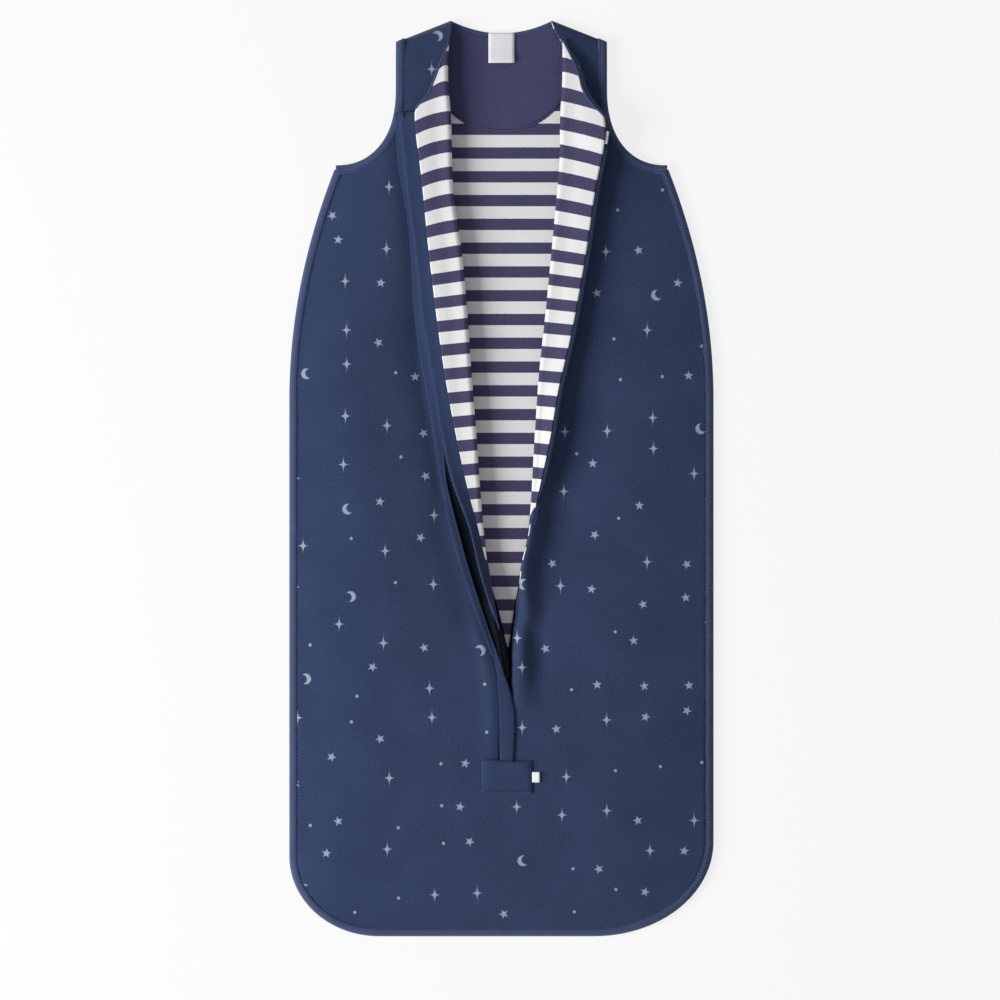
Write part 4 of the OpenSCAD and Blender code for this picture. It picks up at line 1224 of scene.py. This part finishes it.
# %% Care label
LABEL_T = 0.4
RIBBON_GAP = 0.3
CURL_H, CURL_LENGTH, CURL_SIDE = 2.2, 16, 0.4
BULGE_H = 0.25
label_low, label_high = (np.array(c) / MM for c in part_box("care_label"))


def label_z(x, y, share):
    """The label's free end curls up, more at its right corner."""
    curl = CURL_H * ramp(y, label_low[1] + CURL_LENGTH, label_low[1]) * (1 - CURL_SIDE * (1 - share))
    return label_high[2] + RIBBON_GAP + curl + BULGE_H * np.sin(share * math.pi)


label_ys = np.linspace(label_low[1], label_high[1], 16)
strip("care_label_ribbon", strip_grid(label_ys, upright(label_low[0]), upright(label_high[0]), label_z, 9),
      satin_label, LABEL_T, ["care_label"], "care_label")

# %% Side tag
TAG_T = 0.35
TAG_IN, TAG_OUT, TAG_R = -1.5, 4.9, 1.1    # the ribbon runs out, round a small loop and back in
TAG_TILT = 0.04
tag_low, tag_high = (np.array(c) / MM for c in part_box("side_tag"))
tag_ys = np.linspace(tag_low[1], tag_high[1], 7)[:, None]
tag_turn = np.radians(np.linspace(-90, 90, 7)[1:-1])
tag_reach = np.concatenate([np.linspace(TAG_IN, TAG_OUT, 6), TAG_OUT + TAG_R * np.cos(tag_turn),
                            np.linspace(TAG_OUT, TAG_IN, 6)])
tag_rise = np.concatenate([np.linspace(0.1, 0.0, 6), TAG_R + TAG_R * np.sin(tag_turn),
                           np.linspace(2 * TAG_R, 1.0, 6)])
tag_grid = np.zeros((len(tag_ys), len(tag_reach), 3))
tag_grid[..., 0] = tag_low[0] + tag_reach
tag_grid[..., 1] = tag_ys
tag_grid[..., 2] = tag_low[2] + RIBBON_GAP + tag_rise + TAG_TILT * (tag_ys - tag_low[1])
tag_flat = unrolled(tag_grid[:, ::-1])
tag = cloth_piece("side_tag_ribbon", tag_grid[:, ::-1], tag_flat, satin_label, TAG_T)
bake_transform(tag)
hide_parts("side_tag")

# %% [markdown]
# ## Bindings
# A binding is a strip of the plain cotton folded round the raw edges and sewn down in its own groove. It is
# padded by the layers that it holds, so it stands up as a soft roll and puckers a little along its seam. We
# sweep a rounded section along the outline; the section is given as (distance in from the edge, height).


# %% Rolls along a path
def spaced(points, gap):
    """Points at even distances along a path."""
    steps = np.linalg.norm(np.diff(points, axis=0), axis=1)
    at = np.concatenate([[0], np.cumsum(steps)])
    keep = np.concatenate([[True], steps > 1e-6])
    count = max(int(at[-1] / gap), 2)
    new = np.linspace(0, at[-1], count + 1)
    return np.stack([np.interp(new, at[keep], points[keep, i]) for i in range(points.shape[1])], axis=1)


def outward_of(path):
    """Level unit vectors to the right of the direction of travel."""
    along = np.gradient(path[:, :2], axis=0)
    out = np.stack([along[:, 1], -along[:, 0]], axis=1)
    return out / np.linalg.norm(out, axis=1, keepdims=True)


PUCKER_RINGS, PUCKER_TWIST = 2.6, 0.3    # rings to one pucker, and how much it changes across the section


def roll(path, section, pucker=0.0, seed=0.0):
    """Rings (count, points, 3) of a section of (inset, height) swept along a path."""
    out = outward_of(path)
    section = np.array(section, float)
    rings = np.zeros((len(path), len(section), 3))
    rings[..., :2] = path[:, None, :2] - out[:, None, :] * section[None, :, :1]
    rings[..., 2] = path[:, None, 2] + section[None, :, 1]
    along = np.arange(len(path))[:, None] * 1.0
    wave = ripple(along, section[None, :, 0] * PUCKER_TWIST, PUCKER_RINGS, seed)
    rings[..., 2] += pucker * wave * (section[None, :, 1] > section[:, 1].mean())
    return rings


def between(rings):
    """The line on a roll's crown along which it is sewn down."""
    return 0.6 * rings[:, 1] + 0.4 * rings[:, 2] + [0, 0, 0.1]


def roll_mesh(name, rolls, material):
    """One piece from several swept rolls, closed at their ends."""
    points, faces, uvs = [], [], []
    for rings in rolls:
        base = sum(len(p) for p in points)
        count, around = rings.shape[:2]
        points.append(rings.reshape(-1, 3))
        length = np.cumsum(np.linalg.norm(np.diff(rings[:, 0], axis=0, prepend=rings[:1, 0]), axis=1))
        girth = np.cumsum(np.linalg.norm(np.diff(rings[0], axis=0, prepend=rings[0, :1]), axis=1))
        uvs.append(np.stack(np.broadcast_arrays(girth[None, :], length[:, None]), axis=2).reshape(-1, 2))
        for i in range(count - 1):
            for j in range(around):
                k = (j + 1) % around
                a, b = base + i * around, base + (i + 1) * around
                faces.append((a + j, b + j, b + k, a + k))
        faces.append(tuple(base + j for j in range(around)))
        faces.append(tuple(base + (count - 1) * around + j for j in reversed(range(around))))
    piece = new_piece(name, np.concatenate(points), faces, material, np.concatenate(uvs))
    fixed = bmesh.new()
    fixed.from_mesh(piece.data)
    bmesh.ops.recalc_face_normals(fixed, faces=fixed.faces)
    fixed.to_mesh(piece.data)
    fixed.free()
    piece.data.shade_smooth()
    print(name, sum(len(rings) for rings in rolls), "rings")
    return piece


# %% Side and hem binding
PATH_STEP = 3.0


def edge_path():
    """The outline from the left armpit down, round the hem and up to the right armpit."""
    points = []
    for side in (-1, 1):
        wide, high = CORNER[side]
        up = np.linspace(HEM + high, ARMPIT[1] - 4, 80)
        a = np.linspace(0, math.pi / 2, 30)
        xs = np.concatenate([HALF_W - wide + wide * np.sin(a), side_x(side, up)])
        ys = np.concatenate([HEM + high - high * np.cos(a), up])
        half = np.stack([side * xs, ys, np.zeros_like(xs)], axis=1)
        points.append(half[::-1] if side < 0 else half)
    return spaced(np.concatenate(points), PATH_STEP)


EDGE_SECTION = [(8.9, 5.6), (7.9, 6.7), (6.6, 7.4), (5.0, 7.5), (3.2, 6.9), (1.6, 5.7), (0.6, 4.3),
                (0.2, 3.0), (0.5, 1.7), (1.6, 0.7), (3.4, 0.3), (6.0, 0.15), (8.8, 0.3), (9.0, 3.0)]
EDGE_PUCKER = 0.45
edge_rings = roll(edge_path(), EDGE_SECTION, EDGE_PUCKER, 1.5)
edge_roll = roll_mesh("edge_binding_roll", [edge_rings], binding_cotton_painted_light)
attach(edge_roll, "body")
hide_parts("edge_binding")

# %% [markdown]
# ## Armholes and shoulders
# At the armholes front and back are bound one by one, so each has its own roll: the front's rides up with
# the front, the back's lies on the floor. Both end at the shoulder seam, a narrow ridge of turned-in cloth.

# %% Armhole bindings
FRONT_ARM = [(9.0, -0.4), (7.7, 0.5), (5.8, 1.0), (3.7, 0.9), (1.8, 0.1), (0.5, -1.1), (0.2, -2.1),
             (0.9, -3.2), (3.0, -3.8), (6.0, -3.8), (9.0, -3.3)]
BACK_ARM = [(9.0, 2.9), (7.7, 3.6), (5.8, 4.0), (3.7, 3.8), (1.8, 3.1), (0.5, 2.1), (0.2, 1.4), (0.9, 0.6),
            (3.0, 0.15), (6.0, 0.1), (9.0, 0.2)]
FRONT_PUCKER, BACK_PUCKER = 0.3, 0.2
OVER_SIDE_H, OVER_SIDE_W = 1.6, 14    # the lower end rides over the end of the side binding
END_CUT = 30                          # over this length the ends turn to the slope of the shoulder seam
arm_seams = []
for side, word in ((-1, "left"), (1, "right")):
    xs, ys = arm_point(np.linspace(0.0, 2.0, 90))
    flat_path = np.stack([side * xs, ys, np.zeros_like(xs)], axis=1)
    flat_path = spaced(flat_path if side > 0 else flat_path[::-1], PATH_STEP)
    high_path = flat_path.copy()
    inner = flat_path[:, :2] - outward_of(flat_path) * ARM_BIND_W
    high_path[:, 2] = front_top(inner[:, 0], np.minimum(inner[:, 1], shoulder_y(inner[:, 0])), ripples=False)
    high_path[:, 2] += OVER_SIDE_H * ramp(np.abs(flat_path[:, 0]), ARMPIT[0] - OVER_SIDE_W, ARMPIT[0])
    rolls = [roll(high_path, FRONT_ARM, FRONT_PUCKER, 3.5 + side),
             roll(flat_path, BACK_ARM, BACK_PUCKER, 6.5 + side)]
    for rings in rolls:
        near_top = ramp(flat_path[:, 1], SHOULDER[1] - END_CUT, SHOULDER[1])[:, None]
        rings[..., 1] += near_top * (shoulder_y(rings[..., 0]) - SHOULDER[1])
    arm = roll_mesh(word + "_armhole_roll", rolls, binding_cotton_painted_light)
    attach(arm, "body")
    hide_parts(word + "_armhole_binding")
    arm_seams.append(between(rolls[0]))

# %% Shoulder seams
SEAM_SECTION = [(2.6, 6.4), (1.4, 6.7), (0.3, 6.0), (-0.3, 4.6), (-0.4, 2.6), (0.0, 0.9), (1.0, 0.15),
                (2.6, 0.1)]
SEAM_STEP, SEAM_IN, SEAM_PUCKER = 2.5, 0.6, 0.15
for side, word in ((-1, "left"), (1, "right")):
    xs = side * np.linspace(SHOULDER[0], NECK_TIP[0], 40)
    line = np.stack([xs, shoulder_y(xs) - SEAM_IN, np.zeros_like(xs)], axis=1)
    rings = roll(spaced(line[::side], SEAM_STEP), SEAM_SECTION, SEAM_PUCKER, 2.0 + side)
    seam = roll_mesh(word + "_shoulder_seam", [rings], trim_cotton)
    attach(seam, "body")

# %% [markdown]
# ## Neck bindings
# The back neck has a roll of its own. On the flaps the neck's edge is folded back with the cloth, so a thin
# roll runs down from the fold's top to the flap's corner, along the edge of the flap's lining.

# %% Neck bindings
NECK_SECTION = [(4.6, 3.6), (3.4, 4.2), (1.8, 4.2), (0.6, 3.4), (0.1, 2.0), (0.6, 0.7), (2.0, 0.1),
                (4.6, 0.2)]
FLAP_NECK = [(1.2, -0.6), (1.1, 0.3), (0.3, 0.6), (-0.7, 0.4), (-1.1, -0.4), (-0.8, -1.4), (0.4, -1.8)]
NECK_PUCKER = 0.2
neck_x = np.linspace(NECK_TIP[0], -NECK_TIP[0], 60)
neck_path = spaced(np.stack([neck_x, back_top_y(neck_x), np.zeros_like(neck_x)], axis=1), PATH_STEP)
back_neck = roll_mesh("back_neck_roll", [roll(neck_path, NECK_SECTION, NECK_PUCKER, 9.0)], binding_cotton_painted_light)
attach(back_neck, "body")
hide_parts("back_neck_binding")
for side, word in ((-1, "left"), (1, "right")):
    ys = np.linspace(NECK_CORNER[side] + 1, FOLD_TOP[side], 40)
    path = np.stack([LINING_EDGE[side](ys), ys, lapel_z(side, ys, fold_width(side, ys))], axis=1)
    rings = roll(spaced(path, SEAM_STEP), FLAP_NECK, NECK_PUCKER, 4.0 + side)
    neck = roll_mesh(word + "_flap_neck_roll", [rings], binding_cotton_painted_light)
    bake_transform(neck)
    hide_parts(word + "_neck_binding")

# %% [markdown]
# ## Stitches
# Each binding is sewn down by one row of stitches near its inner edge, and so are the patch and the facing.
# The thread is hardly seen from afar, but up close it is what holds the bag together, so every stitch is a
# short raised bead of thread: two ends that dip into the cloth and a four-sided belly between them.


# %% One stitch
STITCH_PITCH = 3.2
STITCH_HALF = 1.2
THREAD_R = 0.4    # real thread is half as thick; drawn coarser so that it shows
ROUND = ((1, 0), (0, 1), (-1, 0), (0, -1))
BELLY = [(x * STITCH_HALF, a * THREAD_R, b * THREAD_R) for x in (-0.6, 0.6) for a, b in ROUND]
STITCH = np.array([(-STITCH_HALF, 0, -THREAD_R), *BELLY, (STITCH_HALF, 0, -THREAD_R)])
STITCH_FACES = [(0, 1 + (j + 1) % 4, 1 + j) for j in range(4)]
STITCH_FACES += [(9, 5 + j, 5 + (j + 1) % 4) for j in range(4)]
STITCH_FACES += [(1 + j, 1 + (j + 1) % 4, 5 + (j + 1) % 4, 5 + j) for j in range(4)]


def stitches(name, path):
    """A row of stitches along a path in mm, on the body."""
    path = spaced(path, STITCH_PITCH)
    along = np.gradient(path, axis=0)
    along = along / np.linalg.norm(along, axis=1, keepdims=True)
    across = np.cross(along, (0, 0, 1))
    across = across / np.linalg.norm(across, axis=1, keepdims=True)
    axes = np.stack([along, across, np.cross(across, along)], axis=1)
    points = path[:, None] + STITCH @ axes
    faces = [tuple(i * len(STITCH) + k for k in f) for i in range(len(path)) for f in STITCH_FACES]
    piece = new_piece(name, points, faces, thread)
    piece.data.shade_smooth()
    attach(piece, "body")
    print(name, len(path), "stitches")


# %% Rows of stitches
stitches("edge_binding_stitches", between(edge_rings))
for seam, word in zip(arm_seams, ("left", "right")):
    stitches(word + "_armhole_stitches", seam)
PATCH_INSET = 2.2
left_x, right_x = patch_low[0] + PATCH_INSET, patch_high[0] - PATCH_INSET
corners = np.array([(left_x, patch_high[1] - 1), (left_x, patch_low[1] + PATCH_INSET),
                    (right_x, patch_low[1] + PATCH_INSET), (right_x, patch_high[1] - 1)])
patch_seam = spaced(corners, 1.0)
patch_share = (patch_seam[:, 0] - patch_low[0]) / (patch_high[0] - patch_low[0])
stitches("patch_stitches", np.column_stack([patch_seam, patch_z(*patch_seam.T, patch_share) + 0.1]))
facing_seam = np.column_stack([facing_x, facing_low + FACING_SEAM, facing_grid[0, :, 2] - 0.2])
stitches("facing_stitches", facing_seam[4:-4])

# %% [markdown]
# ## Teeth
# The zip is moulded plastic with a tooth every 2.4 mm on each tape. A tooth is a small block with a raised,
# narrower head. The rows follow the edges of the two flaps, and a short closed stretch lies below the cover.

# %% One tooth
TOOTH_PITCH = 2.4
STOP_SIZE = (1.0, 2.3, 1.2)    # a stop is a longer, taller tooth
TOOTH = np.array([(-1.6, -0.7, 0.0), (1.6, -0.7, 0.0), (1.6, 0.7, 0.0), (-1.6, 0.7, 0.0),
                  (-1.5, -0.65, 0.9), (1.7, -0.65, 0.9), (1.7, 0.65, 0.9), (-1.5, 0.65, 0.9),
                  (-0.9, -0.4, 1.5), (1.3, -0.4, 1.5), (1.3, 0.4, 1.5), (-0.9, 0.4, 1.5)])
TOOTH_FACES = [(3, 2, 1, 0), (8, 9, 10, 11)]
TOOTH_FACES += [(r + j, r + (j + 1) % 4, r + 4 + (j + 1) % 4, r + 4 + j) for r in (0, 4) for j in range(4)]


def teeth_row(name, path, facing_side, node, body):
    """Teeth along a path, each turned so that its head points to facing_side; the last one is a stop."""
    path = spaced(path, TOOTH_PITCH)
    size = np.ones((len(path), 1, 3))
    size[-1] = STOP_SIZE
    teeth = TOOTH[None] * size
    out = outward_of(path) * facing_side
    along = np.stack([-out[:, 1], out[:, 0]], axis=1)
    points = np.zeros((len(path), len(TOOTH), 3))
    points[..., :2] = path[:, None, :2] + out[:, None] * teeth[..., :1] + along[:, None] * teeth[..., 1:2]
    points[..., 2] = path[:, None, 2] + teeth[..., 2]
    faces = [tuple(i * len(TOOTH) + k for k in f) for i in range(len(path)) for f in TOOTH_FACES]
    piece = new_piece(name, points, faces, acetal)
    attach(piece, body)
    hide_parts(*node)
    print(name, len(path), "teeth")


# %% Rows of teeth
LEFT_TOP, RIGHT_TOP = 340, 342       # the stops sit just below the ends of the tapes
TEETH_SHARE = 0.7                    # the left row's place on the width of its tape
TEETH_IN, TEETH_DROP = 0.6, 3.3      # the right row's place from the tape's edge and the flap's top
PEEP_BY, PEEP_AT = 2.0, (60, -20)    # low down the left row peeps out beyond the guard
HIDE_BY, HIDE_AT = 3, (-20, 100)     # higher up it hides under the guard
LOWER_TEETH = {"left": (5.2, 1), "right": (9.8, -1)}    # place across the bag, side that the heads face
row_x = GUARD_EDGE(tape_ys) - PEEP_BY * ramp(tape_ys, *PEEP_AT) + HIDE_BY * ramp(tape_ys, *HIDE_AT)
row_z = tape_z(GUARD_EDGE(tape_ys), tape_ys, np.full_like(tape_ys, TEETH_SHARE))
left_line = np.stack([row_x, tape_ys, row_z], axis=1)
teeth_row("left_zip_teeth_row", left_line[tape_ys < LEFT_TOP], -1, ["left_zip_teeth", "left_top_stop"],
          "left_flap")
row_x = LINING_EDGE[1](right_ys) + TAPE_SHOWS - TEETH_IN
right_line = np.stack([row_x, right_ys, right_edge_z(right_ys) - TEETH_DROP], axis=1)
teeth_row("right_zip_teeth_row", right_line[right_ys < RIGHT_TOP], 1, ["right_zip_teeth", "right_top_stop"],
          "right_flap")
for word, (x, faces_to) in LOWER_TEETH.items():
    line = np.stack([np.full_like(slit_ys, x), slit_ys, np.full_like(slit_ys, LOWER_ZIP_Z)], axis=1)[::-1]
    teeth_row("lower_" + word + "_teeth_row", line, faces_to, ["lower_" + word + "_zip_teeth"], "body")

# %% [markdown]
# ## Slider and bottom stop
# The slider, its pull and the bottom stop are hard and small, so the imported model's own solids stay as they
# are and only get a finish: pale enamel on the zinc, and the teeth's plastic for the stop.

# %% Finish of the parts that stay as they were modelled
FINISHES = {"zip_slider": painted_zinc, "slider_pull": painted_zinc, "zip_bottom_stop": acetal}
for node, material in FINISHES.items():
    part = frame["nodes"][node]
    part.data.materials.clear()
    part.data.materials.append(material)
print("finished:", *FINISHES)

# %% [markdown]
# ## Dress the model
# Every soft piece takes the place of the plain solids that it shows. The panels ride on the body; the flaps
# were made above, and the lining of each also takes the place of the rolled stretch that stays behind.

# %% Dress the model
PANELS = {"front_outer": front_outer, "front_lining": front_lining, "back_lining": back_lining,
          "back_outer": back_outer}
for node, piece in PANELS.items():
    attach(piece, "body")
    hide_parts(node)
for side, word in ((-1, "left"), (1, "right")):
    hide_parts(word + "_flap_lining", word + "_turned_edge")
    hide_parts(word + "_flap_outer")
print("panels on the body:", *PANELS)

# %% [markdown]

# %% [markdown]
# ## Cut sizes
# The flat grids know how wide and long each cloth was before it was folded or laid: their cells add up to the
# area that was cut.


for side, word in ((-1, "left"), (1, "right")):
    lining, shell, flat, print_flat = lapels[side]
